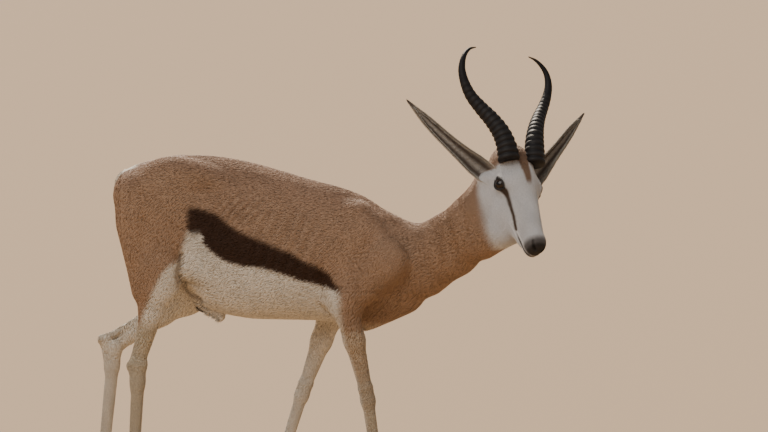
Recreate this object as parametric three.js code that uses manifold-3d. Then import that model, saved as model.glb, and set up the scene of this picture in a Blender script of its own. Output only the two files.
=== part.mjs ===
// A springbok ram, life size, walking with its head turned to its right.
// Millimetres, +Z up, +X towards the front of the animal, +Y to its left.
// One smooth body form is worked out as a field, meshed, and parted with thin cuts into the named parts.
import * as THREE from 'three';
import { mergeVertices } from 'three/addons/utils/BufferGeometryUtils.js';
import Module from 'manifold-3d';

const wasm = await Module();
wasm.setup();

// Driving dimensions
const GAP = 0.3;            // clear space between two parts that touch
const BODY_CELL = 21.5;     // mesh step on the body
const HEAD_CELL = 11.65;    // mesh step on the head
const LEG_SIDES = 10;       // sides of a lower leg
const LEG_STEP = 22;        // spacing of the rings down a lower leg

const vec = (x, y, z) => new THREE.Vector3(x, y, z);

// The trunk from tail root to brisket: position along X, top, bottom, half width,
// height of the widest level as a share of the depth, and roundness of the upper half.
const TRUNK = [
  { x: -394, top: 742, bottom: 706, half: 14, widest: 0.5, roof: 2.0 },
  { x: -375, top: 757, bottom: 640, half: 46, widest: 0.5, roof: 2.0 },
  { x: -340, top: 772, bottom: 560, half: 74, widest: 0.5, roof: 2.0 },
  { x: -285, top: 783, bottom: 505, half: 88, widest: 0.55, roof: 2.0 },
  { x: -235, top: 788, bottom: 468, half: 93, widest: 0.52, roof: 1.9 },
  { x: -180, top: 786, bottom: 444, half: 102, widest: 0.46, roof: 1.85 },
  { x: -110, top: 774, bottom: 431, half: 113, widest: 0.42, roof: 1.85 },
  { x: -40, top: 755, bottom: 429, half: 115, widest: 0.42, roof: 1.85 },
  { x: 30, top: 735, bottom: 428, half: 108, widest: 0.43, roof: 1.75 },
  { x: 90, top: 720, bottom: 424, half: 96, widest: 0.44, roof: 1.65 },
  { x: 145, top: 699, bottom: 428, half: 84, widest: 0.42, roof: 1.7 },
  { x: 200, top: 660, bottom: 444, half: 74, widest: 0.42, roof: 1.9 },
  { x: 245, top: 622, bottom: 468, half: 60, widest: 0.45, roof: 2.0 },
  { x: 285, top: 580, bottom: 508, half: 30, widest: 0.5, roof: 2.0 },
];

// The head stands in a frame of its own: origin between the horn roots on the forehead,
// f down the face to the nose, l to the animal's left, u out of the forehead.
const HEAD_ORIGIN = vec(500, -85, 781);
const FACE = vec(0.310, -0.512, -0.801).normalize();
const CROWN = new THREE.Vector3().crossVectors(FACE, vec(0.714, 0.682, -0.159)).normalize();
const SIDE = new THREE.Vector3().crossVectors(CROWN, FACE);
const head = (f, l, u) => HEAD_ORIGIN.clone()
  .addScaledVector(FACE, f).addScaledVector(SIDE, l).addScaledVector(CROWN, u);

// Leg joints, from the top down.
const FORE_RIGHT = {
  shoulder: vec(205, -78, 560), elbow: vec(112, -80, 478), knee: vec(158, -62, 272),
  knuckle: vec(184, -58, 84), toe: vec(222, -58, 0),
};
const FORE_LEFT = {
  shoulder: vec(190, 78, 560), elbow: vec(62, 78, 462), knee: vec(-4, 60, 276),
  knuckle: vec(-62, 56, 92), toe: vec(-30, 56, 0),
};
const HIND_RIGHT = {
  hip: vec(-312, -62, 680), stifle: vec(-284, -86, 548), hock: vec(-341, -62, 335),
  knuckle: vec(-355, -58, 92), toe: vec(-313, -58, 0),
};
const HIND_LEFT = {
  hip: vec(-305, 62, 680), stifle: vec(-232, 84, 505), hock: vec(-419, 58, 364),
  knuckle: vec(-443, 56, 124), toe: vec(-420, 56, 0),
};

const clamp = (v, low, high) => Math.min(high, Math.max(low, v));
const mix = (a, b, t) => a + (b - a) * t;
const smoothMin = (a, b, k) => {
  const h = Math.max(k - Math.abs(a - b), 0) / k;
  return Math.min(a, b) - h * h * k * 0.25;
};

// Cubic interpolation of one column of the trunk table.
function trunkAt(x, key) {
  const last = TRUNK.length - 1;
  let i = 0;
  while (i < last - 1 && x > TRUNK[i + 1].x) i++;
  const [p0, p1, p2, p3] = [TRUNK[Math.max(i - 1, 0)], TRUNK[i], TRUNK[i + 1], TRUNK[Math.min(i + 2, last)]];
  const step = p2.x - p1.x;
  const t = clamp((x - p1.x) / step, 0, 1);
  const m1 = (p2[key] - p0[key]) / (p2.x - p0.x) * step;
  const m2 = (p3[key] - p1[key]) / (p3.x - p1.x) * step;
  const t2 = t * t;
  const t3 = t2 * t;
  return (2 * t3 - 3 * t2 + 1) * p1[key] + (t3 - 2 * t2 + t) * m1 + (3 * t2 - 2 * t3) * p2[key] + (t3 - t2) * m2;
}

// The trunk's own form: each section is two half superellipses that meet at the widest level.
function trunk(p) {
  const first = TRUNK[0].x;
  const last = TRUNK[TRUNK.length - 1].x;
  const x = clamp(p.x, first, last);
  const top = trunkAt(x, 'top');
  const bottom = trunkAt(x, 'bottom');
  const half = trunkAt(x, 'half');
  const level = mix(bottom, top, trunkAt(x, 'widest'));
  const rise = p.z > level ? top - level : level - bottom;
  const power = p.z > level ? trunkAt(x, 'roof') : 2.1;
  const radius = (Math.abs(p.y / half) ** power + Math.abs((p.z - level) / rise) ** power) ** (1 / power);
  const inner = (radius - 1) * Math.min(half, rise);
  const beyond = p.x - x;
  return beyond === 0 ? inner : Math.hypot(Math.max(inner, 0), beyond) + Math.min(inner, 0);
}

// A round cone from a to b, radii ra and rb, narrowed sideways (along Y) by the factor slim.
function cone(a, ra, b, rb, slim = 1) {
  const along = b.clone().sub(a);
  const flat = along.clone().setY(along.y * slim);
  const length2 = flat.lengthSq();
  return (p) => {
    const q = vec(p.x - a.x, (p.y - a.y) * slim, p.z - a.z);
    const t = clamp(q.dot(flat) / length2, 0, 1);
    return q.addScaledVector(flat, -t).length() - mix(ra, rb, t);
  };
}

// An ellipsoid with its centre, three radii and a turn about Y (pitch, degrees) in the body frame.
function lump(centre, radii, pitch = 0) {
  const c = Math.cos(pitch * Math.PI / 180);
  const s = Math.sin(pitch * Math.PI / 180);
  const least = Math.min(...radii);
  return (p) => {
    const dx = p.x - centre.x;
    const dz = p.z - centre.z;
    const q = Math.hypot((dx * c + dz * s) / radii[0], (p.y - centre.y) / radii[1], (dz * c - dx * s) / radii[2]);
    return (q - 1) * least * Math.max(1, q * 0.5);
  };
}

// The same, with centre and radii in the head's frame.
function headLump(f, l, u, rf, rl, ru) {
  const centre = head(f, l, u);
  const least = Math.min(rf, rl, ru);
  return (p) => {
    const q = p.clone().sub(centre);
    const r = Math.hypot(q.dot(FACE) / rf, q.dot(SIDE) / rl, q.dot(CROWN) / ru);
    return (r - 1) * least;
  };
}

const toward = (a, b, t) => a.clone().lerp(b, t);

// Every form of the flesh, each with the width over which it melts into the ones before it.
const FORMS = [];
const add = (blend, form) => FORMS.push({ blend, form });

add(1, trunk);
// Neck, bent to the right, with the windpipe below and the crest muscle above.
const NECK = [vec(196, 0, 562), vec(268, -6, 561), vec(332, -26, 594), vec(385, -50, 636), vec(424, -64, 700)];
add(40, cone(NECK[0], 82, NECK[1], 73, 1.25));
add(24, cone(NECK[1], 73, NECK[2], 68, 1.3));
add(20, cone(NECK[2], 68, NECK[3], 63, 1.25));
add(18, cone(NECK[3], 63, NECK[4], 46, 1.1));
add(26, cone(vec(400, -56, 662), 46, head(-6, -2, -70), 34));
add(22, cone(NECK[3].clone().add(vec(24, -6, -20)), 50, head(114, 2, -98), 35, 1));

// Hip bones, pin bones and the root of the tail.
for (const side of [-1, 1]) {
  add(40, lump(vec(-228, side * 58, 746), [38, 18, 18], -15));
  add(24, lump(vec(-376, side * 34, 716), [22, 22, 32], 0));
}

function foreLeg(leg) {
  const side = Math.sign(leg.elbow.y);
  const blade = vec(leg.shoulder.x - 72, side * 48, 650);
  add(46, cone(blade, 24, leg.shoulder, 34, 1.5));
  add(24, cone(leg.shoulder, 42, leg.elbow, 40, 1.55));
  // Triceps, from the blade's hind edge to the point of the elbow.
  add(34, cone(vec(blade.x - 4, side * 64, 606), 32, vec(leg.elbow.x - 8, leg.elbow.y, leg.elbow.z + 18), 34, 1.7));
  const tip = vec(leg.elbow.x - 24, leg.elbow.y, leg.elbow.z + 14);
  add(14, lump(tip, [16, 11, 20], 0));
  const mid = toward(leg.elbow, leg.knee, 0.42);
  add(20, cone(leg.elbow, 34, mid, 23, 1.32));
  add(14, cone(mid, 23, toward(leg.elbow, leg.knee, 0.9), 14.5, 1.15));
  add(8, cone(toward(leg.elbow, leg.knee, 0.93), 16.5, toward(leg.knee, leg.knuckle, 0.06), 15.5, 1.02));
  add(10, cone(toward(leg.knee, leg.knuckle, 0.05), 13.5, toward(leg.knee, leg.knuckle, 0.9), 11, 1.12));
  pastern(leg, 14.5);
}

// Fetlock, pastern and the soft bulk above the hoof.
function pastern(leg, size) {
  add(8, cone(toward(leg.knuckle, leg.knee || leg.hock, 0.08), size - 1, leg.knuckle, size, 1.02));
  add(9, cone(leg.knuckle, size - 1, toward(leg.knuckle, leg.toe, 0.8), size, 0.88));
}

function hindLeg(leg) {
  const side = Math.sign(leg.hip.y);
  // Thigh: quadriceps in front, hamstrings behind.
  add(60, cone(vec(leg.hip.x + 26, side * 58, 700), 60, leg.stifle, 40, 1.5));
  const back = vec(-354, side * 50, 690);
  const heel = toward(leg.stifle, leg.hock, 0.42);
  add(30, cone(back, 43, vec(heel.x - 18, heel.y * 0.92, heel.z + 36), 31, 1.25));
  add(26, cone(vec(leg.hip.x - 10, side * 58, 640), 66, toward(leg.stifle, leg.hock, 0.18), 46, 1.55));
  // Gaskin, the strong tendon behind it, hock with its point, cannon.
  add(22, cone(leg.stifle, 40, toward(leg.stifle, leg.hock, 0.45), 28, 1.4));
  add(16, cone(toward(leg.stifle, leg.hock, 0.45), 28, toward(leg.stifle, leg.hock, 0.9), 15.5, 1.2));
  const down = leg.knuckle.clone().sub(leg.hock).normalize();
  const shin = leg.hock.clone().sub(leg.stifle).normalize();
  const rear = shin.clone().addScaledVector(down, -0.75).normalize();
  const point = leg.hock.clone().addScaledVector(rear, 26).addScaledVector(down, -14);
  add(9, cone(leg.hock, 17, point, 9.5, 1.15));
  add(12, cone(point, 8.5, toward(leg.stifle, leg.hock, 0.45).addScaledVector(rear, 14), 12, 1.2));
  add(9, cone(leg.hock, 18.5, toward(leg.hock, leg.knuckle, 0.17), 15, 1.1));
  add(9, cone(point, 9, toward(leg.hock, leg.knuckle, 0.2).addScaledVector(rear, 5), 10, 1.1));
  add(10, cone(toward(leg.hock, leg.knuckle, 0.15), 14.5, toward(leg.hock, leg.knuckle, 0.92), 12, 1.15));
  pastern(leg, 15);
}

foreLeg(FORE_RIGHT);
foreLeg(FORE_LEFT);
hindLeg(HIND_RIGHT);
hindLeg(HIND_LEFT);

// Flank fold between belly and stifle, brisket, and the sheath under the belly.
for (const leg of [HIND_RIGHT, HIND_LEFT]) {
  const side = Math.sign(leg.hip.y);
  add(24, cone(vec(-178, side * 74, 540), 26, vec(leg.stifle.x + 24, side * 80, leg.stifle.z + 12), 24, 1.9));
}
add(26, cone(vec(150, 0, 440), 30, vec(232, 0, 480), 34, 1.2));
add(12, cone(vec(-214, 0, 462), 12, vec(-172, 0, 436), 10));

// Skull, face and jaw.
const HEAD_FORMS = [
  [16, headLump(-20, 0, -48, 42, 43, 46)],
  [22, headLump(24, 0, -36, 58, 44, 37)],
  [16, cone(head(50, 0, -38), 36, head(184, 0, -34), 23)],
  [12, headLump(198, 0, -35, 23, 23, 25)],
  [12, headLump(192, 0, -55, 22, 15, 12)],
  [14, headLump(130, 0, -50, 52, 24, 25)],
];
for (const side of [-1, 1]) {
  HEAD_FORMS.push(
    [14, headLump(46, side * 37, -38, 27, 19, 21)],
    [22, cone(head(6, side * 24, -92), 28, head(86, side * 16, -76), 24)],
    [20, cone(head(86, side * 16, -76), 24, head(168, side * 6, -57), 13)],
    [14, headLump(88, side * 24, -52, 40, 15, 22)],
    [14, cone(head(20, side * 30, -66), 27, head(14, side * 52, -70), 17)],
  );
}
for (const [blend, form] of HEAD_FORMS) add(blend, form);

function body(p) {
  let d = 1e9;
  for (const { blend, form } of FORMS) d = smoothMin(d, form(p), blend);
  return d;
}

// The slope of the field, by central differences.
function slope(p, e = 0.5) {
  return vec(
    body(vec(p.x + e, p.y, p.z)) - body(vec(p.x - e, p.y, p.z)),
    body(vec(p.x, p.y + e, p.z)) - body(vec(p.x, p.y - e, p.z)),
    body(vec(p.x, p.y, p.z + e)) - body(vec(p.x, p.y, p.z - e)),
  ).divideScalar(2 * e);
}

// Moves a point onto the surface by a few short Newton steps.
function settle(p, reach = 8) {
  const q = p.clone();
  for (let i = 0; i < 4; i++) {
    const g = slope(q);
    q.addScaledVector(g, clamp(-body(q) / Math.max(g.lengthSq(), 0.05), -reach, reach));
  }
  return q;
}

// A surface net of the flesh inside a box: one vertex in each cell that the surface crosses,
// settled onto it, and a square over each crossed edge. The field shape may cap it with planes.
function netAt(field, low, high, cell) {
  const nx = Math.ceil((high.x - low.x) / cell) + 1;
  const ny = Math.ceil((high.y - low.y) / cell) + 1;
  const nz = Math.ceil((high.z - low.z) / cell) + 1;
  const at = (i, j, k) => (k * ny + j) * nx + i;
  const value = new Float64Array(nx * ny * nz);
  for (let k = 0; k < nz; k++) {
    for (let j = 0; j < ny; j++) {
      for (let i = 0; i < nx; i++) {
        value[at(i, j, k)] = field(vec(low.x + i * cell, low.y + j * cell, low.z + k * cell));
      }
    }
  }
  const edges = [];
  for (const [a, b] of [[0, 1], [2, 3], [4, 5], [6, 7], [0, 2], [1, 3], [4, 6], [5, 7], [0, 4], [1, 5], [2, 6], [3, 7]]) {
    edges.push([a, b]);
  }
  const corner = (i, j, k, n) => [i + (n & 1), j + ((n >> 1) & 1), k + (n >> 2)];
  const index = new Int32Array(nx * ny * nz).fill(-1);
  const positions = [];
  for (let k = 0; k < nz - 1; k++) {
    for (let j = 0; j < ny - 1; j++) {
      for (let i = 0; i < nx - 1; i++) {
        const sum = vec(0, 0, 0);
        let crossings = 0;
        for (const [a, b] of edges) {
          const ca = corner(i, j, k, a);
          const cb = corner(i, j, k, b);
          const va = value[at(...ca)];
          const vb = value[at(...cb)];
          if (va < 0 === vb < 0) continue;
          const t = va / (va - vb);
          sum.add(vec(mix(ca[0], cb[0], t), mix(ca[1], cb[1], t), mix(ca[2], cb[2], t)));
          crossings++;
        }
        if (!crossings) continue;
        const p = sum.divideScalar(crossings).multiplyScalar(cell).add(low);
        const q = settle(p);
        const onSkin = Math.abs(field(q) - body(q)) < 1e-6 && q.distanceTo(p) < cell * 0.6;
        index[at(i, j, k)] = positions.length / 3;
        positions.push(...(onSkin ? q : p).toArray());
      }
    }
  }
  const triangles = [];
  const square = (a, b, c, d, flip) => {
    const [p, q, r, s] = [a, b, c, d].map((n) => vec(...positions.slice(n * 3, n * 3 + 3)));
    const split = p.distanceTo(r) <= q.distanceTo(s) ? [a, b, c, a, c, d] : [a, b, d, b, c, d];
    triangles.push(...(flip ? split.reverse() : split));
  };
  for (let k = 1; k < nz - 1; k++) {
    for (let j = 1; j < ny - 1; j++) {
      for (let i = 1; i < nx - 1; i++) {
        const inside = value[at(i, j, k)] < 0;
        if (inside !== value[at(i + 1, j, k)] < 0) {
          square(index[at(i, j - 1, k - 1)], index[at(i, j, k - 1)], index[at(i, j, k)], index[at(i, j - 1, k)], !inside);
        }
        if (inside !== value[at(i, j + 1, k)] < 0) {
          square(index[at(i - 1, j, k - 1)], index[at(i - 1, j, k)], index[at(i, j, k)], index[at(i, j, k - 1)], !inside);
        }
        if (inside !== value[at(i, j, k + 1)] < 0) {
          square(index[at(i - 1, j - 1, k)], index[at(i, j - 1, k)], index[at(i, j, k)], index[at(i - 1, j, k)], !inside);
        }
      }
    }
  }
  return solid(positions, triangles);
}

// Where two sheets pass through one cell the net pinches, so the grid is then moved a little.
function surfaceNet(field, low, high, cell) {
  for (let shift = 0; shift < 1; shift += 0.125) {
    try {
      return netAt(field, low.clone().subScalar(shift * cell), high, cell);
    } catch {
      continue;
    }
  }
  throw new Error('no grid gives a clean net');
}

function solid(positions, triangles) {
  const mesh = new wasm.Mesh({
    numProp: 3, vertProperties: new Float32Array(positions), triVerts: new Uint32Array(triangles),
  });
  return new wasm.Manifold(mesh);
}

// A closed three.js geometry as a solid.
function solidOf(geometry) {
  const bare = geometry.clone();
  bare.deleteAttribute('normal');
  bare.deleteAttribute('uv');
  const merged = mergeVertices(bare, 1e-4);
  return solid(merged.attributes.position.array, merged.index.array);
}

// Joins rings of equal count into a closed solid, its ends closed by fans.
function loft(rings) {
  const sides = rings[0].length;
  const positions = rings.flat().flatMap((p) => p.toArray());
  const middle = (ring) => ring.reduce((s, p) => s.add(p), vec(0, 0, 0)).divideScalar(sides);
  positions.push(...middle(rings[0]).toArray(), ...middle(rings[rings.length - 1]).toArray());
  const triangles = [];
  const start = rings.length * sides;
  const lastRing = (rings.length - 1) * sides;
  for (let j = 0; j < sides; j++) {
    const n = (j + 1) % sides;
    for (let i = 0; i < rings.length - 1; i++) {
      const [a, b, c, d] = [i * sides + j, i * sides + n, (i + 1) * sides + n, (i + 1) * sides + j];
      triangles.push(a, b, c, a, c, d);
    }
    triangles.push(start, n, j, start + 1, lastRing + j, lastRing + n);
  }
  const made = solid(positions, triangles);
  return made.volume() > 0 ? made : solid(positions, triangles.reverse());
}

// Everything ahead of a plane, as one big box whose near face lies on it.
function ahead(point, normal, shift = 0) {
  const size = 1600;
  const box = new THREE.BoxGeometry(size, size, size);
  const turn = new THREE.Quaternion().setFromUnitVectors(vec(0, 0, 1), normal.clone().normalize());
  box.translate(0, 0, size / 2 + shift);
  box.applyQuaternion(turn);
  box.translate(point.x, point.y, point.z);
  return solidOf(box);
}

const sliceTop = (piece, point, normal) => piece.subtract(ahead(point, normal, -GAP / 2));
const keepAhead = (piece, point, normal) => piece.intersect(ahead(point, normal, GAP / 2));

// Only the largest closed surface of a cut piece is kept.
function largest(piece) {
  return piece.decompose().reduce((a, b) => (b.volume() > a.volume() ? b : a));
}

// An outline in the XZ plane, moved out by grow, as a slab on one side of the animal.
function sideSlab(outline, side, from, grow) {
  const points = outline.map(([x, z]) => new THREE.Vector2(x, z));
  const turn = Math.sign(THREE.ShapeUtils.area(points));
  const grown = points.map((p, i) => {
    const before = points[(i + points.length - 1) % points.length];
    const after = points[(i + 1) % points.length];
    const n1 = p.clone().sub(before).normalize();
    const n2 = after.clone().sub(p).normalize();
    const bisector = n1.clone().add(n2).normalize();
    const out = new THREE.Vector2(bisector.y, -bisector.x).multiplyScalar(turn * grow / Math.max(bisector.dot(n2), 0.3));
    return p.clone().add(out);
  });
  const depth = 220;
  const slab = new THREE.ExtrudeGeometry(new THREE.Shape(grown), { depth, bevelEnabled: false });
  slab.rotateX(Math.PI / 2);
  const near = from - grow;
  slab.translate(0, side > 0 ? near + depth : -near, 0);
  return solidOf(slab);
}

// A ring of points about a centre, in the plane of two unit vectors.
function ringAt(centre, across, up, shape, sides) {
  const ring = [];
  for (let j = 0; j < sides; j++) {
    const angle = j / sides * 2 * Math.PI;
    const [a, b] = shape(angle);
    ring.push(centre.clone().addScaledVector(across, a).addScaledVector(up, b));
  }
  return ring;
}

// Points along a smooth curve, each with its tangent.
function walk(points, count) {
  const curve = new THREE.CatmullRomCurve3(points, false, 'centripetal');
  return Array.from({ length: count + 1 }, (_, i) => ({
    t: i / count, point: curve.getPointAt(i / count), along: curve.getTangentAt(i / count),
  }));
}

// The length of a ray from a centre to the skin.
function reach(centre, ray, far) {
  let low = 0;
  let high = 2;
  while (high < far && body(centre.clone().addScaledVector(ray, high)) < 0) high += 2;
  low = Math.max(high - 2, 0);
  for (let i = 0; i < 12; i++) {
    const mid = (low + high) / 2;
    if (body(centre.clone().addScaledVector(ray, mid)) < 0) low = mid;
    else high = mid;
  }
  return high;
}

// The lower leg: rings whose points lie on the skin, square to a line down its joints.
function legTube(points) {
  const length = new THREE.CatmullRomCurve3(points, false, 'centripetal').getLength();
  const rings = walk(points, Math.round(length / LEG_STEP)).map(({ point, along }) => {
    const across = vec(0, 1, 0).addScaledVector(along, -along.y).normalize();
    const ahead = new THREE.Vector3().crossVectors(across, along).normalize();
    return ringAt(point, ahead, across, (angle) => {
      const ray = ahead.clone().multiplyScalar(Math.cos(angle)).addScaledVector(across, Math.sin(angle));
      const r = reach(point, ray, 90);
      return [r * Math.cos(angle), r * Math.sin(angle)];
    }, LEG_SIDES);
  });
  return loft(rings);
}

// Materials
const paint = (color, roughness = 0.9) => new THREE.MeshStandardMaterial({ color, roughness, metalness: 0 });
const COAT = {
  tan: paint(0xa8743f), pale: paint(0xd9d2c6), face: paint(0xe6e0d4), ear: paint(0xb9aea0),
  horn: paint(0x1f1b18, 0.55), hoof: paint(0x17140f, 0.4), eye: paint(0x120b06, 0.08),
};

const group = new THREE.Group();
function addPart(name, piece, material) {
  const mesh = piece.getMesh();
  const geometry = new THREE.BufferGeometry();
  const positions = [];
  for (let i = 0; i < mesh.numVert; i++) positions.push(...mesh.vertProperties.slice(i * mesh.numProp, i * mesh.numProp + 3));
  geometry.setAttribute('position', new THREE.Float32BufferAttribute(positions, 3));
  geometry.setIndex(Array.from(mesh.triVerts));
  geometry.translate(-ORIGIN.x, -ORIGIN.y, 0);
  geometry.computeVertexNormals();
  const part = new THREE.Mesh(geometry, material);
  part.name = name;
  group.add(part);
}

// Horns: a lyre. Distance up from the brow, spread from the middle, lean out of the forehead, radius.
const HORN = [
  [-4, 33, -7, 22], [27, 36.5, 1, 20.5], [59, 44, 4, 18.6], [92, 58, 2, 16.4], [123, 76, -2, 14.2],
  [152, 94.5, -2, 12], [179, 107.5, 5, 10], [203, 113.5, 13, 8.2], [220, 112, 19, 6.8], [234, 107, 23, 5.6],
  [247, 98, 25, 4.4], [257.5, 86, 26, 3], [264, 69, 26, 1.1],
];
const HORN_RIDGES = 16;
const RIDGED_PART = 0.66;

function hornLine(side) {
  const centres = HORN.map(([up, spread, lean]) => head(-up, side * spread, lean));
  const curve = new THREE.CatmullRomCurve3(centres, false, 'centripetal');
  const radii = new THREE.CatmullRomCurve3(HORN.map((row) => vec(row[3], 0, 0)), false, 'centripetal');
  return { curve, radii };
}

// Radius up the horn: u is the curve's own parameter, grow widens it for the socket.
function horn(side, grow = 0, sides = 9) {
  const { curve, radii } = hornLine(side);
  const rings = [];
  const steps = HORN_RIDGES * 2;
  const stations = [];
  for (let i = 0; i <= steps; i++) stations.push([i / steps * RIDGED_PART, i % 2 ? 1 : 0]);
  for (let i = 1; i <= 11; i++) stations.push([mix(RIDGED_PART, 1, i / 11), 0]);
  for (const [s, ridge] of stations) {
    const u = curve.getUtoTmapping(s);
    const centre = curve.getPoint(u);
    const along = curve.getTangent(u);
    const across = SIDE.clone().addScaledVector(along, -SIDE.dot(along)).normalize();
    const out = new THREE.Vector3().crossVectors(along, across).normalize();
    const rise = ridge * mix(0.13, 0.07, s / RIDGED_PART);
    const r = radii.getPoint(u).x * (1 + rise) + grow;
    rings.push(ringAt(centre, across, out, (a) => [r * Math.cos(a), r * 1.06 * Math.sin(a)], sides));
  }
  return loft(rings);
}

// Ears: a cupped leaf along a bent line, its hollow turned to face.
const EAR = {
  right: { root: [26, -46, -52], line: vec(-184, -176, -10), face: vec(0.52, -0.45, 0.69), bend: -6, sag: -5, wide: 1.18 },
  left: { root: [26, 46, -50], line: vec(-206, 176, 18), face: vec(0.35, 0.25, 0.9), bend: 4, sag: 0, wide: 1.12 },
};
const EAR_WIDTH = [
  [0, 16], [0.1, 19], [0.2, 19], [0.35, 16], [0.5, 14], [0.62, 12.5], [0.75, 10], [0.86, 6.4], [0.94, 3.6], [1, 1.4],
];
const inHead = (v) => vec(0, 0, 0).addScaledVector(FACE, v.x).addScaledVector(SIDE, v.y).addScaledVector(CROWN, v.z);

function tableAt(table, t) {
  let i = 0;
  while (i < table.length - 2 && t > table[i + 1][0]) i++;
  const [[t0, v0], [t1, v1]] = [table[i], table[i + 1]];
  const s = clamp((t - t0) / (t1 - t0), 0, 1);
  return mix(v0, v1, s);
}

function ear({ root, line, face, bend, sag, wide }, cupped = true, grow = 0) {
  const along = inHead(line).normalize();
  const facing = inHead(face);
  facing.addScaledVector(along, -facing.dot(along)).normalize();
  const across = new THREE.Vector3().crossVectors(along, facing);
  const base = head(...root);
  const rings = [];
  const stations = [-0.04, 0.03, 0.1, 0.17, 0.26, 0.37, 0.5, 0.62, 0.74, 0.85, 0.94, 1];
  for (const t of stations) {
    const s = Math.max(t, 0);
    const width = tableAt(EAR_WIDTH, s) * wide + grow;
    const deep = mix(1.25, 0.55, clamp(s * 1.6, 0, 1)) * width;
    const wall = Math.min(3.2, width * 0.45);
    const hollow = cupped ? clamp((s - 0.07) * 9, 0, 1) : 0;
    const centre = base.clone().addScaledVector(along, t * line.length())
      .addScaledVector(facing, bend * Math.sin(Math.PI * s) + 10 * s * s)
      .addScaledVector(across, sag * Math.sin(Math.PI * s));
    const ring = [];
    const arc = 1.75;
    for (let j = 0; j <= 6; j++) {
      const a = mix(-arc, arc, j / 6);
      ring.push([width * Math.sin(a) / Math.sin(Math.min(arc, Math.PI / 2)), -deep * (Math.cos(a) - Math.cos(arc)) / (1 - Math.cos(arc))]);
    }
    for (let j = 0; j <= 4; j++) {
      const a = mix(arc, -arc, (j + 0.5) / 5);
      const w = width - wall * 0.8;
      const d = Math.max(deep - wall, 0.4) * hollow + (1 - hollow) * -0.06 * deep;
      ring.push([w * Math.sin(a), -d * (Math.cos(a) - Math.cos(arc)) / (1 - Math.cos(arc)) + (hollow ? 0.5 : 0)]);
    }
    rings.push(ring.map(([a, b]) => centre.clone().addScaledVector(across, a).addScaledVector(facing, b)));
  }
  return loft(rings);
}

// Eyes and the lids that ring them.
const EYE = { f: 48, l: 43, u: -38, radius: 15 };
const eyeCentre = (side) => head(EYE.f, side * EYE.l, EYE.u);
const eyeball = (side, radius, detail) => {
  const ball = new THREE.SphereGeometry(radius, detail, Math.round(detail * 0.6));
  const c = eyeCentre(side);
  ball.translate(c.x, c.y, c.z);
  return solidOf(ball);
};

// Hooves: two claws a foot, flat below, each a loft from the sole up to the coronet.
const HOOF = { length: 54, width: 17.5, cleft: 1.2, front: 28, heel: 15, slope: 20, back: 6, sink: 1.2 };
const coronet = vec(-(HOOF.slope + HOOF.length - HOOF.back) / 2, 0, (HOOF.front + HOOF.heel) / 2);

// Turns a place in the hoof's own frame, its tip the origin, by the foot's tilt and sets it under the leg.
function hoofPlace({ knuckle, toe }, tilt) {
  const turn = tilt * Math.PI / 180;
  const top = coronet.clone().applyAxisAngle(vec(0, 1, 0), turn);
  const t = (knuckle.z - top.z) / knuckle.z;
  const tip = vec(mix(knuckle.x, toe.x, t) - top.x, toe.y, tilt ? -HOOF.sink : 0);
  return (p) => p.clone().applyAxisAngle(vec(0, 1, 0), turn).add(tip);
}

function claw(leg, side, tilt) {
  const sides = 10;
  const outline = (level) => Array.from({ length: sides }, (_, j) => {
    const a = j / sides * 2 * Math.PI;
    const fore = (Math.cos(a) + 1) / 2;
    const narrow = 1 - 0.42 * fore ** 2.2 * (1 - level * 0.7);
    const x = mix(mix(-HOOF.length, -HOOF.length + HOOF.back, level), -HOOF.slope * level, fore);
    const wide = mix(HOOF.width, HOOF.width - 2, level);
    const y = HOOF.cleft + wide * (Math.sin(a) * 0.5 * narrow + 0.5 * narrow + (1 - narrow) * 0.12);
    return vec(x, side * y, mix(HOOF.heel, HOOF.front, fore) * level);
  });
  const place = hoofPlace(leg, tilt);
  const piece = loft([0, 0.5, 1].map((level) => outline(level).map(place)));
  return tilt ? piece.intersect(ahead(vec(0, 0, 0), vec(0, 0, 1))) : piece;
}

// Everything of the leg above the coronet.
function aboveHoof(leg, tilt) {
  const place = hoofPlace(leg, tilt);
  const middle = place(coronet);
  const up = vec(-(HOOF.front - HOOF.heel), 0, HOOF.length - HOOF.back - HOOF.slope)
    .applyAxisAngle(vec(0, 1, 0), tilt * Math.PI / 180).normalize();
  return ahead(middle, up, GAP);
}

// Outlines of the upper legs on the animal's side, and below the trunk.
const FORE_CUT = {
  right: [[150, 668], [206, 640], [248, 582], [236, 520], [190, 470], [176, 430], [60, 430], [64, 478], [84, 540], [104, 610]],
  left: [[140, 668], [196, 640], [238, 582], [222, 520], [150, 452], [128, 424], [0, 424], [12, 470], [52, 540], [90, 610]],
};
const HIND_CUT = {
  right: [[-330, 744], [-262, 738], [-218, 660], [-200, 590], [-206, 530], [-262, 478], [-262, 440], [-400, 440], [-420, 600], [-412, 710]],
  left: [[-330, 744], [-262, 738], [-212, 660], [-184, 590], [-176, 520], [-196, 458], [-262, 400], [-440, 400], [-430, 600], [-412, 710]],
};
const SHOULDER_DEPTH = 62;
const THIGH_DEPTH = 46;
const HEAD_BACK = -104;     // where the head ends, out of the forehead
const ORIGIN = vec(66, -10, 0);   // middle of the animal's box, on the ground

// A small horn behind the fetlock.
function dewclaw(leg, side) {
  const down = toward(leg.knuckle, leg.toe, 0.34).sub(leg.knuckle);
  const behind = vec(-down.length() * 0.42 - 3, side * 8.5, 0);
  const root = leg.knuckle.clone().add(behind.clone().multiplyScalar(0.35));
  const tip = leg.knuckle.clone().add(behind).addScaledVector(down, 0.75);
  const along = tip.clone().sub(root).normalize();
  const across = vec(0, 1, 0).addScaledVector(along, -along.y).normalize();
  const out = new THREE.Vector3().crossVectors(along, across);
  const rings = [[0, 7], [0.5, 6], [0.85, 4.4], [1, 2]].map(([t, r]) => (
    ringAt(toward(root, tip, t), across, out, (a) => [r * Math.cos(a), r * 0.8 * Math.sin(a)], 7)));
  return loft(rings);
}

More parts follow.
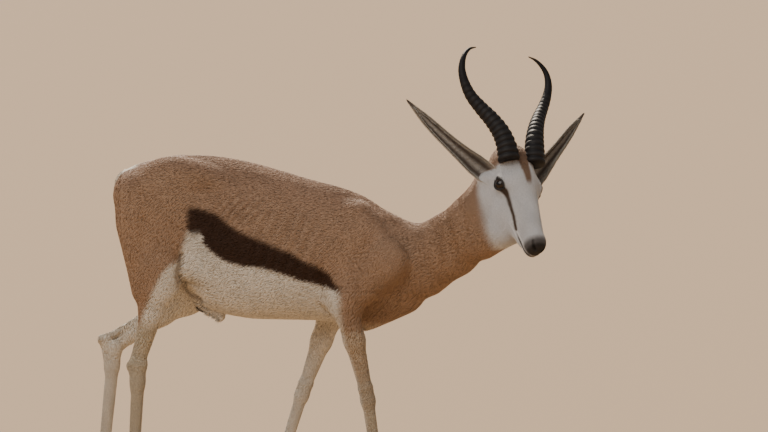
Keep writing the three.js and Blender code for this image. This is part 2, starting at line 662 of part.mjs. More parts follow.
// The tail hangs in the cleft of the rump and ends in a tuft.
const TAIL = [vec(-378, 0, 748), vec(-395, 0, 730), vec(-397, 0, 690), vec(-389, 0, 640), vec(-374, 0, 590), vec(-360, 0, 548)];
const TUFT = { rows: 2, around: 4, length: 60, width: 8, thick: 2.6, room: 13 };
const TUFT_END = vec(-340, 0, 478);
const TAIL_RADIUS = [9.5, 5];

function sweep(points, steps, radius, sides) {
  return loft(walk(points, steps).map(({ t, point, along }) => {
    const across = vec(0, 1, 0);
    const back = new THREE.Vector3().crossVectors(across, along).normalize();
    const r = radius(t);
    return ringAt(point, across, back, (a) => [r * Math.cos(a), r * 0.9 * Math.sin(a)], sides);
  }));
}
const tail = (grow = 0) => sweep(TAIL, 10, (t) => mix(...TAIL_RADIUS, t) + grow, 9);

// The clear space in the rump's cleft where the tail and its tuft hang.
const tailRoom = () => sweep([...TAIL.slice(1), TUFT_END], 10, (t) => mix(TAIL_RADIUS[0] + 0.4, TUFT.room, t), 9);

// The tuft: flat, tapered locks set in a loop round the tail's last stretch.
function tuft(core) {
  const line = new THREE.CatmullRomCurve3(TAIL, false, 'centripetal');
  let piece = core;
  for (let row = 0; row < TUFT.rows; row++) {
    const t = mix(0.78, 0.95, row / (TUFT.rows - 1));
    const root = line.getPointAt(t);
    const along = line.getTangentAt(t);
    const back = new THREE.Vector3().crossVectors(vec(0, 1, 0), along).normalize();
    for (let k = 0; k < TUFT.around; k++) {
      const angle = (k + row * 0.5) / TUFT.around * 2 * Math.PI;
      const out = vec(0, 1, 0).multiplyScalar(Math.cos(angle)).addScaledVector(back, Math.sin(angle)).normalize();
      const across = new THREE.Vector3().crossVectors(along, out).normalize();
      const length = TUFT.length * (1 + 0.12 * Math.cos(angle * 3 + row));
      piece = piece.add(loft([0, 0.35, 0.7, 1].map((s) => {
        const centre = root.clone().addScaledVector(along, length * s)
          .addScaledVector(out, 1.5 + 4 * Math.sin(Math.PI * Math.min(s * 1.1, 1)));
        const w = TUFT.width * (0.5 + 0.9 * s - 1.3 * s * s) + 0.4;
        const h = TUFT.thick * (1 - 0.75 * s) + 0.3;
        return ringAt(centre, across, out, (a) => [w * Math.cos(a), h * Math.sin(a)], 4);
      })));
    }
  }
  return piece;
}

// A point on the head's skin under a place in the head's frame, and the way out of it.
function onHead(f, l, u) {
  const p = settle(head(f, l, u), 20);
  return { p, out: slope(p).normalize() };
}

// A groove that follows the skin: a wedge swept along a path of head places.
function groove(path, width, depth) {
  const spots = path.map((place) => onHead(...place));
  const rings = spots.map(({ p, out }, i) => {
    const before = spots[Math.max(i - 1, 0)].p;
    const after = spots[Math.min(i + 1, spots.length - 1)].p;
    const along = after.clone().sub(before).normalize();
    const across = new THREE.Vector3().crossVectors(along, out).normalize();
    const taper = 0.5 + 0.5 * Math.sin(Math.PI * i / (spots.length - 1));
    return [
      p.clone().addScaledVector(out, 3).addScaledVector(across, width * taper),
      p.clone().addScaledVector(out, 3).addScaledVector(across, -width * taper),
      p.clone().addScaledVector(out, -depth * taper),
    ];
  });
  return loft(rings);
}

// A ridge that follows the skin, for lids and lips.
function ridge(path, width, height, sink = 2.5) {
  const spots = path.map((place) => onHead(...place));
  const rings = spots.map(({ p, out }, i) => {
    const before = spots[Math.max(i - 1, 0)].p;
    const after = spots[Math.min(i + 1, spots.length - 1)].p;
    const along = after.clone().sub(before).normalize();
    const across = new THREE.Vector3().crossVectors(along, out).normalize();
    const taper = 0.45 + 0.55 * Math.sin(Math.PI * i / (spots.length - 1));
    const middle = p.clone().addScaledVector(out, (height - sink) / 2);
    return ringAt(middle, across, out, (a) => [width * taper * Math.cos(a), (height + sink) / 2 * taper * Math.sin(a)], 5);
  });
  return loft(rings);
}

// The eye's opening runs along f; lids arch over it above and below.
const LID = { reach: 15.5, upper: 10.5, lower: 10, width: 3.8, height: 3.6 };
const lidPath = (side, way, arch) => Array.from({ length: 7 }, (_, i) => {
  const s = mix(-1, 1, i / 6);
  const bow = arch * Math.sqrt(Math.max(1 - s * s, 0));
  return [EYE.f + LID.reach * s, side * (EYE.l + 14), EYE.u + 1 + way * bow - 2.5 * s];
});
const MOUTH = { corner: 134, front: 222 };
const mouthPath = (side) => Array.from({ length: 8 }, (_, i) => {
  const t = i / 7;
  return [mix(MOUTH.corner, MOUTH.front - 4, t), side * mix(26, 8, t * t), mix(-54, -51, t)];
});
const nostril = (side) => Array.from({ length: 5 }, (_, i) => {
  const t = i / 4;
  return [mix(202, 218, t), side * mix(18, 9, t * t), mix(-17, -29, t)];
});

const coarseFloor = 384 + BODY_CELL * 1.5;
const flesh = surfaceNet(
  (p) => Math.max(body(p), coarseFloor - p.z), vec(-470, -230, 384), vec(640, 180, 830), BODY_CELL,
);
const headNet = surfaceNet(
  (p) => Math.max(body(p), HEAD_BACK - 12 - p.clone().sub(HEAD_ORIGIN).dot(CROWN)),
  vec(330, -250, 540), vec(640, 40, 860), HEAD_CELL,
);

// Where the neck meets the head and the trunk.
const headPlane = [head(0, 0, HEAD_BACK), CROWN.clone()];
const neckPlane = [vec(272, 0, 600), vec(0.93, -0.08, 0.36).normalize()];
const LEGS = {
  fore_right: { leg: FORE_RIGHT, cut: FORE_CUT.right, depth: SHOULDER_DEPTH, inner: 30, under: 430, tilt: 0 },
  fore_left: { leg: FORE_LEFT, cut: FORE_CUT.left, depth: SHOULDER_DEPTH, inner: 30, under: 430, tilt: 0 },
  hind_right: { leg: HIND_RIGHT, cut: HIND_CUT.right, depth: THIGH_DEPTH, inner: 2, under: 505, tilt: 0 },
  hind_left: { leg: HIND_LEFT, cut: HIND_CUT.left, depth: THIGH_DEPTH, inner: 2, under: 505, tilt: 38 },
};

// The region of an upper leg: its outline on the animal's side, and all of it below the trunk.
function legRegion({ leg, cut, depth, inner, under }, grow) {
  const side = Math.sign((leg.elbow || leg.hip).y);
  const low = Math.min(...cut.map(([, z]) => z)) - 60;
  const xs = cut.filter(([, z]) => z < under + 40).map(([x]) => x);
  const lower = [
    [Math.min(...xs), low], [Math.max(...xs), low], [Math.max(...xs), under], [Math.min(...xs), under],
  ];
  return sideSlab(cut, side, depth, grow).add(sideSlab(lower, side, inner, grow));
}

const shank = ({ elbow, knee, stifle, hock }) => (elbow
  ? { point: toward(elbow, knee, 0.34), along: knee.clone().sub(elbow).normalize() }
  : { point: toward(stifle, hock, 0.46), along: hock.clone().sub(stifle).normalize() });

let torso = sliceTop(flesh, ...neckPlane);
let neck = keepAhead(flesh, ...neckPlane);
neck = sliceTop(neck, ...headPlane);
for (const [name, spec] of Object.entries(LEGS)) {
  const { leg, tilt } = spec;
  torso = torso.subtract(legRegion(spec, GAP / 2));
  const { point, along } = shank(leg);
  const start = point.clone().addScaledVector(along, -4);
  const tube = legTube([start, leg.knee || leg.hock, leg.knuckle, toward(leg.knuckle, leg.toe, 0.86)]);
  let upper = flesh.intersect(legRegion(spec, -GAP / 2));
  upper = upper.subtract(ahead(point, along, -GAP / 2)).subtract(tailRoom());
  const claws = [1, -1].map((side) => claw(leg, side, tilt));
  let lower = tube.intersect(ahead(point, along, GAP / 2));
  for (const side of [1, -1]) lower = lower.add(dewclaw(leg, side));
  lower = lower.intersect(aboveHoof(leg, tilt));
  addPart(`${name}_upper`, largest(upper), COAT.tan);
  addPart(`${name}_lower`, largest(lower), COAT.pale);
  addPart(`${name}_claw_outer`, largest(claws[leg.toe.y > 0 ? 0 : 1]), COAT.hoof);
  addPart(`${name}_claw_inner`, largest(claws[leg.toe.y > 0 ? 1 : 0]), COAT.hoof);
}
torso = torso.subtract(tail(GAP)).subtract(tailRoom());
addPart('torso', largest(torso), COAT.tan);
addPart('neck', largest(neck), COAT.tan);
addPart('tail', largest(tuft(tail())), COAT.pale);

let skull = keepAhead(headNet, ...headPlane);
for (const side of [-1, 1]) {
  skull = skull.add(ridge(lidPath(side, 1, LID.upper), LID.width, LID.height));
  skull = skull.add(ridge(lidPath(side, -1, LID.lower), LID.width, LID.height));
}
for (const side of [-1, 1]) {
  skull = skull.subtract(eyeball(side, EYE.radius + GAP * 1.3, 14));
  skull = skull.subtract(groove(mouthPath(side), 1.6, 3.2));
  skull = skull.subtract(groove(nostril(side), 3.4, 5));
  skull = skull.subtract(horn(side, GAP));
  skull = skull.subtract(ear(side > 0 ? EAR.left : EAR.right, false, GAP));
  addPart(side > 0 ? 'eye_left' : 'eye_right', eyeball(side, EYE.radius, 14), COAT.eye);
  addPart(side > 0 ? 'horn_left' : 'horn_right', horn(side), COAT.horn);
  addPart(side > 0 ? 'ear_left' : 'ear_right', ear(side > 0 ? EAR.left : EAR.right), COAT.ear);
}
addPart('head', largest(skull), COAT.face);

export default group;
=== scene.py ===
"""Rebuilds a life-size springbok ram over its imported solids: skin, coat, eyes, horns and hooves.

The flesh is one implicit form, worked out in millimetres with +X towards the front of the animal and
+Y to its left. It is meshed as a single skin, and the coat is solid tufts that lie along it.
"""

import math

import bpy
import numpy as np
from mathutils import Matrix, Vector


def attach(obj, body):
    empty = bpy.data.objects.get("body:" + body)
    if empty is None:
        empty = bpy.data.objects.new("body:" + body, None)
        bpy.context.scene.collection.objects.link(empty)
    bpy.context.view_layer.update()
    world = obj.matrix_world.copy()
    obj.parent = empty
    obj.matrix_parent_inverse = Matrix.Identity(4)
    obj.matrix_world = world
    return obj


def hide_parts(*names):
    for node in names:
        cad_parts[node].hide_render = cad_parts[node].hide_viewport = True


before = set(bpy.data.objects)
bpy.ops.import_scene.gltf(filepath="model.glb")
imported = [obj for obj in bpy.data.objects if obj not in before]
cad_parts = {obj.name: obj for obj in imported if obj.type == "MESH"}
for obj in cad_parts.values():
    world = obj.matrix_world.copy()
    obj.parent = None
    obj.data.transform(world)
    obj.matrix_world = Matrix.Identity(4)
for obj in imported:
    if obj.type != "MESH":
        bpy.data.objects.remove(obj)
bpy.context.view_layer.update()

bl_info = {
    "name": "Springbok",
    "version": (1, 0, 0),
    "blender": (4, 5, 0),
    "location": "View3D > Sidebar > Springbok",
    "description": "A life-size springbok ram with a coat of solid tufts",
    "category": "Add Mesh",
}

# Shared numbers, in millimetres

ORIGIN = np.array([66.0, -10.0, 0.0])   # middle of the animal's box, on the ground

# Trunk sections: x, top, bottom, half width, widest level as a share of the depth, roundness of the roof
TRUNK = np.array([
    [-394, 742, 706, 14, 0.5, 2.0], [-375, 757, 640, 46, 0.5, 2.0], [-340, 772, 560, 74, 0.5, 2.0],
    [-285, 783, 505, 88, 0.55, 2.0], [-235, 788, 468, 93, 0.52, 1.9], [-180, 786, 444, 102, 0.46, 1.85],
    [-110, 774, 431, 113, 0.42, 1.85], [-40, 755, 429, 115, 0.42, 1.85], [30, 735, 428, 108, 0.43, 1.75],
    [90, 720, 424, 96, 0.44, 1.65], [145, 699, 428, 84, 0.42, 1.7], [200, 660, 444, 74, 0.42, 1.9],
    [245, 622, 468, 60, 0.45, 2.0], [285, 580, 508, 30, 0.5, 2.0],
])


def vec(*values):
    """The values as one array of decimals."""
    return np.array(values, float)


def unit(v):
    """Each vector divided by its own length."""
    return v / np.maximum(np.linalg.norm(v, axis=-1, keepdims=True), 1e-12)


def mix(a, b, t):
    """The place a share t of the way from a to b."""
    return a + (b - a) * t


def ramp(x, start, end):
    """A smooth step: 0 before start, 1 after end, and the cubic 3t2 - 2t3 between."""
    t = np.clip((x - start) / (end - start), 0, 1)
    return t * t * (3 - 2 * t)


HEAD_ORIGIN = vec(500, -85, 781)
FACE = unit(vec(0.310, -0.512, -0.801))
CROWN = unit(np.cross(FACE, vec(0.714, 0.682, -0.159)))
SIDE = np.cross(CROWN, FACE)
HEAD_BACK = -104


def head(f, l, u):
    """The place f down the face, l to the left and u out of the forehead, from between the horn roots."""
    return HEAD_ORIGIN + f * FACE + l * SIDE + u * CROWN


def head_place(p):
    """The three distances f, l and u of each point in the head's own frame."""
    q = p - HEAD_ORIGIN
    return q @ FACE, q @ SIDE, q @ CROWN


LEGS = {
    "fore_right": [vec(205, -78, 560), vec(112, -80, 478), vec(158, -62, 272), vec(184, -58, 84),
                   vec(222, -58, 0)],
    "fore_left": [vec(190, 78, 560), vec(62, 78, 462), vec(-4, 60, 276), vec(-62, 56, 92), vec(-30, 56, 0)],
    "hind_right": [vec(-312, -62, 680), vec(-284, -86, 548), vec(-341, -62, 335), vec(-355, -58, 92),
                   vec(-313, -58, 0)],
    "hind_left": [vec(-305, 62, 680), vec(-232, 84, 505), vec(-419, 58, 364), vec(-443, 56, 124),
                  vec(-420, 56, 0)],
}
TILT = {"fore_right": 0, "fore_left": 0, "hind_right": 0, "hind_left": 38}
NECK = [vec(196, 0, 562), vec(268, -6, 561), vec(332, -26, 594), vec(385, -50, 636), vec(424, -64, 700)]
TAIL = [vec(-378, 0, 748), vec(-395, 0, 730), vec(-397, 0, 690), vec(-389, 0, 640), vec(-374, 0, 590),
        vec(-360, 0, 548)]
HOOF = {"length": 54, "width": 17.5, "cleft": 1.2, "front": 28, "heel": 15, "slope": 20, "back": 6,
        "sink": 1.2}
EYE = {"f": 48, "l": 43, "u": -38, "radius": 15}
EYE_AXIS = unit(vec(0.10, 0.94, 0.24))
LENS_RADIUS, LENS_SHIFT = 19.0, 11.2   # the two discs whose overlap is the eye's opening
SHEATH = vec(-214, 0, 450)
TAIL_RADIUS = (8.5, 4.2)
HEAD_FROM = 380   # the head lies in front of this X

# Creases of the body seen from the side: which side, depth, half width, and the line's X and Z
CREASES = [
    (0, 4.5, 15, [[206, 640], [243, 584], [238, 525], [214, 488]]),
    (0, 3.0, 11, [[60, 545], [66, 500], [84, 462]]),
    (0, 3.0, 16, [[168, 600], [150, 560], [142, 520]]),
    (0, 5.0, 26, [[-196, 705], [-178, 660], [-170, 620]]),
    (0, 6.0, 9, [[-240, 572], [-247, 536], [-240, 500], [-212, 474]]),
    (0, 3.0, 14, [[-318, 650], [-332, 600], [-342, 545]]),
    (0, -3.0, 16, [[146, 672], [176, 628], [196, 590]]),
    (-1, 2.6, 8, [[300, 640], [322, 600], [330, 560]]),
    (-1, 2.6, 8, [[332, 668], [352, 628], [358, 590]]),
    (-1, 2.2, 7, [[362, 690], [380, 655], [385, 622]]),
    (1, -2.0, 16, [[318, 640], [345, 610], [360, 590]]),
]

# Root and line as f, l, u, the way the cup faces, bend, sag and breadth
EARS = {
    "right": ((26, -46, -52), (-184, -176, -10), (0.52, -0.45, 0.69), -6, -5, 1.18),
    "left": ((26, 46, -50), (-206, 176, 18), (0.35, 0.25, 0.9), 4, 0, 1.12),
}
# Half width of an ear along its length
EAR_WIDTH = np.array([[0, 16], [0.1, 19], [0.2, 19], [0.35, 16], [0.5, 14], [0.62, 12.5], [0.75, 10],
                      [0.86, 6.4], [0.94, 3.6], [1, 1.4]]).T
EAR_ARC = 1.75   # half the angle that the cup goes round
EAR_WALL = 2.2

# Distance up from the brow, spread from the middle, lean out of the forehead, radius
HORN = [
    [-4, 33, -7, 22], [27, 36.5, 1, 20.5], [59, 44, 4, 18.6], [92, 58, 2, 16.4], [123, 76, -2, 14.2],
    [152, 94.5, -2, 12], [179, 107.5, 5, 10], [203, 113.5, 13, 8.2], [220, 112, 19, 6.8], [234, 107, 23, 5.6],
    [247, 98, 25, 4.4], [257.5, 86, 26, 3], [264, 69, 26, 1.1],
]
HORN_RIDGES, RIDGED_PART = 16, 0.66

# Lines pressed into the face: the ends of f, l and u, the count of points, the rim's height, place and
# spread, and the groove's depth and spread
FACE_LINES = [
    ((134, 218), (26, 8), (-54, -51), 9, (0.9, 4.5, 2.6), (2.6, 1.9)),
    ((202, 218), (18, 9), (-17, -29), 6, (0.5, 5.5, 2.2), (6.0, 2.7)),
]

# The coat's colours, linear
TAN = vec(0.350, 0.226, 0.146)
BACK = vec(0.325, 0.200, 0.134)
WHITE = vec(0.70, 0.64, 0.55)
DARK = vec(0.040, 0.018, 0.009)
FACE_WHITE = vec(0.68, 0.67, 0.67)
BROW = vec(0.235, 0.148, 0.098)
LEG_PALE = vec(0.52, 0.45, 0.34)
LEG_TAN = vec(0.44, 0.33, 0.225)
NOSE = vec(0.028, 0.025, 0.024)

# The dark side band from flank to elbow, and the white that climbs in front of the thigh: X against Z
BAND_LOW = np.array([[-222, 632], [-200, 611], [-174, 583], [-126, 558], [-38, 540], [20, 526], [85, 508],
                     [125, 490]]).T
BAND_TOP = np.array([[-214, 672], [-163, 664], [-97, 621], [-10, 588], [85, 541], [98, 520], [125, 505]]).T
# The thigh's front edge, Z against X; the groin's fold; and the face's stripe, as f, l and u
THIGH_LINE = np.array([[390, -345], [439, -330], [482, -308], [540, -276], [576, -240], [611, -226],
                       [625, -222]]).T
# The groin's fold line, along which painted shade darkens the coat
GROIN_SHADE_LINE = [vec(-240, 0, 572), vec(-247, 0, 536), vec(-244, 0, 506), vec(-228, 0, 486), vec(-208, 0, 472)]
STRIPE = [vec(56, 50, -36), vec(72, 44, -33), vec(100, 37, -37), vec(126, 33, -40), vec(154, 27, -49)]

NET_BOX = vec(-480, -230, 0), vec(650, 180, 860)   # the net of the skin lies between these corners
PIECE_TUFTS = 32000   # the most tufts in a piece of coat
TUFT_PATCH = 0.0015   # half a tuft's patch on the unwrap
SEAM_SPAN = 0.04      # a face wider than this on the unwrap lies across a chart's seam

# The stage: metres, degrees and light power
FLOOR_REACH = 120.0
SKY_STRENGTH = 0.42
FILL_COLOUR = (1.0, 0.97, 0.93)
LIGHTS = (("sun", 6.5, 3, (50, 0, 208)), ("fill", 1.6, 45, (50, 0, -30)))   # name, power, spread, turn
CAMERA_AIM = (0.112, 0.041, 0.654)
CAMERA_AZIMUTH, CAMERA_RISE, CAMERA_DISTANCE = 10, 2, 25.0

# The flesh as a field

FORMS = []


def add_form(blend, made):
    """Adds a form, as (field, centre, reach), that melts into those before it over the width blend."""
    FORMS.append((blend,) + made)


def cone(a, ra, b, rb, slim=1.0):
    """Distance to a round cone from a to b, with Y stretched by slim so that it is thin sideways."""
    scale = vec(1, slim, 1)
    along = (b - a) * scale
    length2 = along @ along

    def form(p):
        """Distance to the nearest place on the axis, less the radius there."""
        q = (p - a) * scale
        t = np.clip(q @ along / length2, 0, 1)
        return np.linalg.norm(q - t[:, None] * along, axis=1) - (ra + (rb - ra) * t)

    return form, (a + b) / 2, np.linalg.norm(b - a) / 2 + max(ra, rb) * 1.2


def lump(centre, radii, pitch=0.0):
    """Rough distance to an ellipsoid turned about Y: its scaled radius less one, times the least radius."""
    c, s = math.cos(math.radians(pitch)), math.sin(math.radians(pitch))
    least = min(radii)

    def form(p):
        """The scaled radius less one, times the least radius, and more steeply far off."""
        dx, dy, dz = (p - centre).T
        q = np.sqrt(((dx * c + dz * s) / radii[0]) ** 2 + (dy / radii[1]) ** 2
                    + ((dz * c - dx * s) / radii[2]) ** 2)
        return (q - 1) * least * np.maximum(1, q * 0.5)

    return form, centre, max(radii)


def head_lump(f, l, u, rf, rl, ru):
    """The same, with centre and radii along the head's three directions."""
    centre = head(f, l, u)
    least = min(rf, rl, ru)

    def form(p):
        """The scaled radius less one, times the least radius."""
        q = p - centre
        return (np.sqrt((q @ FACE / rf) ** 2 + (q @ SIDE / rl) ** 2 + (q @ CROWN / ru) ** 2) - 1) * least

    return form, centre, max(rf, rl, ru)


def trunk_at(x):
    """All the columns of the trunk table at x, by cubic pieces with finite-difference slopes."""
    last = len(TRUNK) - 1
    i = np.clip(np.searchsorted(TRUNK[:, 0], x, side="left") - 1, 0, last - 1)
    p0, p1, p2, p3 = TRUNK[np.maximum(i - 1, 0)], TRUNK[i], TRUNK[i + 1], TRUNK[np.minimum(i + 2, last)]
    step = (p2[:, 0] - p1[:, 0])[:, None]
    t = np.clip((x[:, None] - p1[:, :1]) / step, 0, 1)
    m1 = (p2 - p0) / (p2[:, :1] - p0[:, :1]) * step
    m2 = (p3 - p1) / (p3[:, :1] - p1[:, :1]) * step
    t2, t3 = t * t, t * t * t
    return (2 * t3 - 3 * t2 + 1) * p1 + (t3 - 2 * t2 + t) * m1 + (3 * t2 - 2 * t3) * p2 + (t3 - t2) * m2


def trunk(p):
    """Each section is two half superellipses that meet at its widest level: the scaled radius there less
    one, times the lesser of half width and rise, and past the table's ends the distance from the end."""
    x = np.clip(p[:, 0], TRUNK[0, 0], TRUNK[-1, 0])
    _, top, bottom, half, widest, roof = trunk_at(x).T
    level = mix(bottom, top, widest)
    above = p[:, 2] > level
    rise = np.where(above, top - level, level - bottom)
    power = np.where(above, roof, 2.1)
    radius = (np.abs(p[:, 1] / half) ** power + np.abs((p[:, 2] - level) / rise) ** power) ** (1 / power)
    inner = (radius - 1) * np.minimum(half, rise)
    beyond = p[:, 0] - x
    return np.where(beyond == 0, inner, np.hypot(np.maximum(inner, 0), beyond) + np.minimum(inner, 0))


def pastern(knuckle, above, toe, size):
    """Fetlock and pastern: a short cone down to the knuckle, and one from it most of the way to the toe."""
    add_form(8, cone(mix(knuckle, above, 0.08), size - 1, knuckle, size, 1.02))
    add_form(9, cone(knuckle, size - 1, mix(knuckle, toe, 0.8), size, 0.88))


def fore_leg(joints):
    """Shoulder, upper arm, elbow, forearm, knee and cannon, as cones between shares of the joints' lines."""
    shoulder, elbow, knee, knuckle, toe = joints
    side = np.sign(elbow[1])
    blade = vec(shoulder[0] - 72, side * 48, 650)
    add_form(46, cone(blade, 24, shoulder, 34, 1.5))
    add_form(24, cone(shoulder, 42, elbow, 40, 1.55))
    add_form(34, cone(vec(blade[0] - 4, side * 64, 606), 32, elbow + vec(-8, 0, 18), 34, 1.7))
    add_form(14, lump(elbow + vec(-24, 0, 14), [16, 11, 20]))
    mid = mix(elbow, knee, 0.42)
    add_form(20, cone(elbow, 34, mid, 23, 1.32))
    add_form(14, cone(mid, 23, mix(elbow, knee, 0.9), 14.5, 1.15))
    add_form(8, cone(mix(elbow, knee, 0.93), 16.5, mix(knee, knuckle, 0.06), 15.5, 1.02))
    add_form(10, cone(mix(knee, knuckle, 0.05), 13.5, mix(knee, knuckle, 0.9), 11, 1.12))
    pastern(knuckle, knee, toe, 14.5)


def hind_leg(joints):
    """Thigh, buttock, gaskin, the hock with its heel point and cannon, as cones between the joints."""
    hip, stifle, hock, knuckle, toe = joints
    side = np.sign(hip[1])
    add_form(60, cone(vec(hip[0] + 26, side * 58, 700), 60, stifle, 40, 1.5))
    heel = mix(stifle, hock, 0.42)
    add_form(30, cone(vec(-354, side * 50, 690), 43,
                      vec(heel[0] - 18, heel[1] * 0.92, heel[2] + 36), 31, 1.25))
    add_form(26, cone(vec(hip[0] - 10, side * 58, 640), 66, mix(stifle, hock, 0.18), 46, 1.55))
    add_form(22, cone(stifle, 40, mix(stifle, hock, 0.45), 28, 1.4))
    add_form(16, cone(mix(stifle, hock, 0.45), 28, mix(stifle, hock, 0.9), 15.5, 1.2))
    down, shin = unit(knuckle - hock), unit(hock - stifle)
    rear = unit(shin - 0.75 * down)
    point = hock + rear * 26 - down * 14
    add_form(9, cone(hock, 17, point, 9.5, 1.15))
    add_form(12, cone(point, 8.5, mix(stifle, hock, 0.45) + rear * 14, 12, 1.2))
    add_form(9, cone(hock, 18.5, mix(hock, knuckle, 0.17), 15, 1.1))
    add_form(9, cone(point, 9, mix(hock, knuckle, 0.2) + rear * 5, 10, 1.1))
    add_form(10, cone(mix(hock, knuckle, 0.15), 14.5, mix(hock, knuckle, 0.92), 12, 1.15))
    pastern(knuckle, hock, toe, 15)


def build_forms():
    """Fills FORMS in the order in which the forms melt into one another."""
    FORMS.clear()
    add_form(1, (trunk, vec(-50, 0, 600), 420))
    add_form(40, cone(NECK[0], 82, NECK[1], 73, 1.25))
    add_form(24, cone(NECK[1], 73, NECK[2], 68, 1.3))
    add_form(20, cone(NECK[2], 68, NECK[3], 63, 1.25))
    add_form(18, cone(NECK[3], 63, NECK[4], 46, 1.1))
    add_form(26, cone(vec(400, -56, 662), 46, head(-6, -2, -70), 34))
    add_form(22, cone(NECK[3] + vec(24, -6, -20), 50, head(114, 2, -98), 35))
    for side in (-1, 1):
        add_form(40, lump(vec(-228, side * 58, 746), [38, 18, 18], -15))
        add_form(24, lump(vec(-376, side * 34, 716), [22, 22, 32]))
    fore_leg(LEGS["fore_right"])
    fore_leg(LEGS["fore_left"])
    hind_leg(LEGS["hind_right"])
    hind_leg(LEGS["hind_left"])
    for name in ("hind_right", "hind_left"):
        stifle = LEGS[name][1]
        side = np.sign(stifle[1])
        add_form(24, cone(vec(-178, side * 74, 540), 26,
                          vec(stifle[0] + 24, side * 80, stifle[2] + 12), 24, 1.9))
    add_form(26, cone(vec(150, 0, 440), 30, vec(232, 0, 480), 34, 1.2))
    add_form(12, cone(vec(-214, 0, 462), 12, vec(-172, 0, 436), 10))
    add_form(16, head_lump(-20, 0, -48, 42, 43, 46))
    add_form(22, head_lump(24, 0, -36, 58, 44, 37))
    add_form(16, cone(head(50, 0, -38), 36, head(184, 0, -34), 23))
    add_form(12, head_lump(198, 0, -35, 23, 23, 25))
    add_form(12, head_lump(192, 0, -55, 22, 15, 12))
    add_form(14, head_lump(130, 0, -50, 52, 24, 25))
    for side in (-1, 1):
        add_form(14, head_lump(46, side * 37, -38, 27, 19, 21))
        add_form(22, cone(head(6, side * 24, -92), 28, head(86, side * 16, -76), 24))
        add_form(20, cone(head(86, side * 16, -76), 24, head(168, side * 6, -57), 13))
        add_form(14, head_lump(88, side * 24, -52, 40, 15, 22))
        add_form(14, cone(head(20, side * 30, -66), 27, head(14, side * 52, -70), 17))


def body(p, chunk=6000):
    """The joined field of all the forms, by a smooth minimum, leaving out forms too far to matter."""
    out = np.empty(len(p))
    for start in range(0, len(p), chunk):
        q = p[start:start + chunk]
        middle = (q.min(0) + q.max(0)) / 2
        spread = np.linalg.norm(q - middle, axis=1).max()
        d = np.full(len(q), 1e9)
        for blend, form, centre, radius in FORMS:
            if np.linalg.norm(middle - centre) - radius - spread > 70 + blend:
                continue
            new = form(q)
            h = np.maximum(blend - np.abs(d - new), 0) / blend
            d = np.minimum(d, new) - h * h * blend * 0.25
        out[start:start + chunk] = d
    return out


def hoof_place(name):
    """Where a hoof's own frame, its tip the origin, stands: the turned places and the foot's tip."""
    knuckle, toe = LEGS[name][3], LEGS[name][4]
    turn = math.radians(TILT[name])
    c, s = math.cos(turn), math.sin(turn)
    spin = np.array([[c, 0, s], [0, 1, 0], [-s, 0, c]])
    coronet = vec(-(HOOF["slope"] + HOOF["length"] - HOOF["back"]) / 2, 0, (HOOF["front"] + HOOF["heel"]) / 2)
    top = spin @ coronet
    t = (knuckle[2] - top[2]) / knuckle[2]
    tip = vec(mix(knuckle[0], toe[0], t) - top[0], toe[1], -HOOF["sink"] if turn else 0)
    up = unit(spin @ vec(-(HOOF["front"] - HOOF["heel"]), 0, HOOF["length"] - HOOF["back"] - HOOF["slope"]))
    return spin, tip, top + tip, up


def coat_depth(p):
    """How far the skin lies under the solids: deepest on the trunk, least on the face and feet."""
    sizes = bpy.context.scene.springbok_sizes
    deep, shallow = sizes.coat_depth * 1000, sizes.face_depth * 1000
    trunk_share = ramp(p[:, 2], 260, 470) * (1 - ramp((p - HEAD_ORIGIN) @ CROWN, -150, -80) * (p[:, 0] > 330))
    return mix(shallow, deep, trunk_share)


def relief(p):
    """How far the skin is drawn in by creases, ribs and the hollow of the flank: a bell across each line."""
    middle = p[:, 1] + 0.35 * np.maximum(p[:, 0] - 250, 0)
    share = ramp(np.abs(middle), 12, 40) * ramp(p[:, 2], 430, 470)
    total = np.zeros(len(p))
    flat = p * vec(1, 0, 1)
    for side, depth, width, line in CREASES:
        points = [vec(x, 0, z) for x, z in line]
        near = np.abs(p[:, 0] - line[1][0]) < 90
        if side:
            near &= middle * side > 0
        total[near] += depth * np.exp(-(far_from(flat[near], points) / width) ** 2)
    x, z = p[:, 0], p[:, 2]
    ribs = ramp(x, -120, -70) * (1 - ramp(x, 30, 90)) * ramp(z, 500, 560) * (1 - ramp(z, 640, 700))
    total += 1.2 * ribs * np.sin((x - 0.4 * (z - 600)) * 2 * np.pi / 27)
    folds = np.exp(-((x + 120) / 55) ** 2 - ((z - 668) / 34) ** 2)
    total += 1.3 * folds * np.sin((x - 0.9 * z) * 2 * np.pi / 21)
    return total * share


def flesh(p):
    """The skin's field: the joined forms moved in by the coat's depth, and cut off above each hoof."""
    d = body(p) + coat_depth(p) + relief(p)
    for name in LEGS:
        _, _, middle, up = hoof_place(name)
        q = p - middle
        near = np.einsum("ij,ij->i", q, q) < 62 ** 2
        cut = -(q[near] @ up) - 0.5
        h = np.maximum(3 - np.abs(d[near] - cut), 0) / 3
        d[near] = np.maximum(d[near], cut) + h * h * 0.75
    return d


def slope(field, p, e=0.6):
    """The field's gradient by central differences."""
    grad = np.empty_like(p)
    for axis in range(3):
        shift = np.zeros(3)
        shift[axis] = e
        grad[:, axis] = (field(p + shift) - field(p - shift)) / (2 * e)
    return grad


def settle(field, p, steps=3, reach=4.0):
    """Moves points onto the surface along the gradient, by short Newton steps."""
    q = p.copy()
    for _ in range(steps):
        grad = slope(field, q)
        move = -field(q) / np.maximum(np.einsum("ij,ij->i", grad, grad), 0.05)
        q += grad * np.clip(move, -reach, reach)[:, None]
    return q


# Meshing

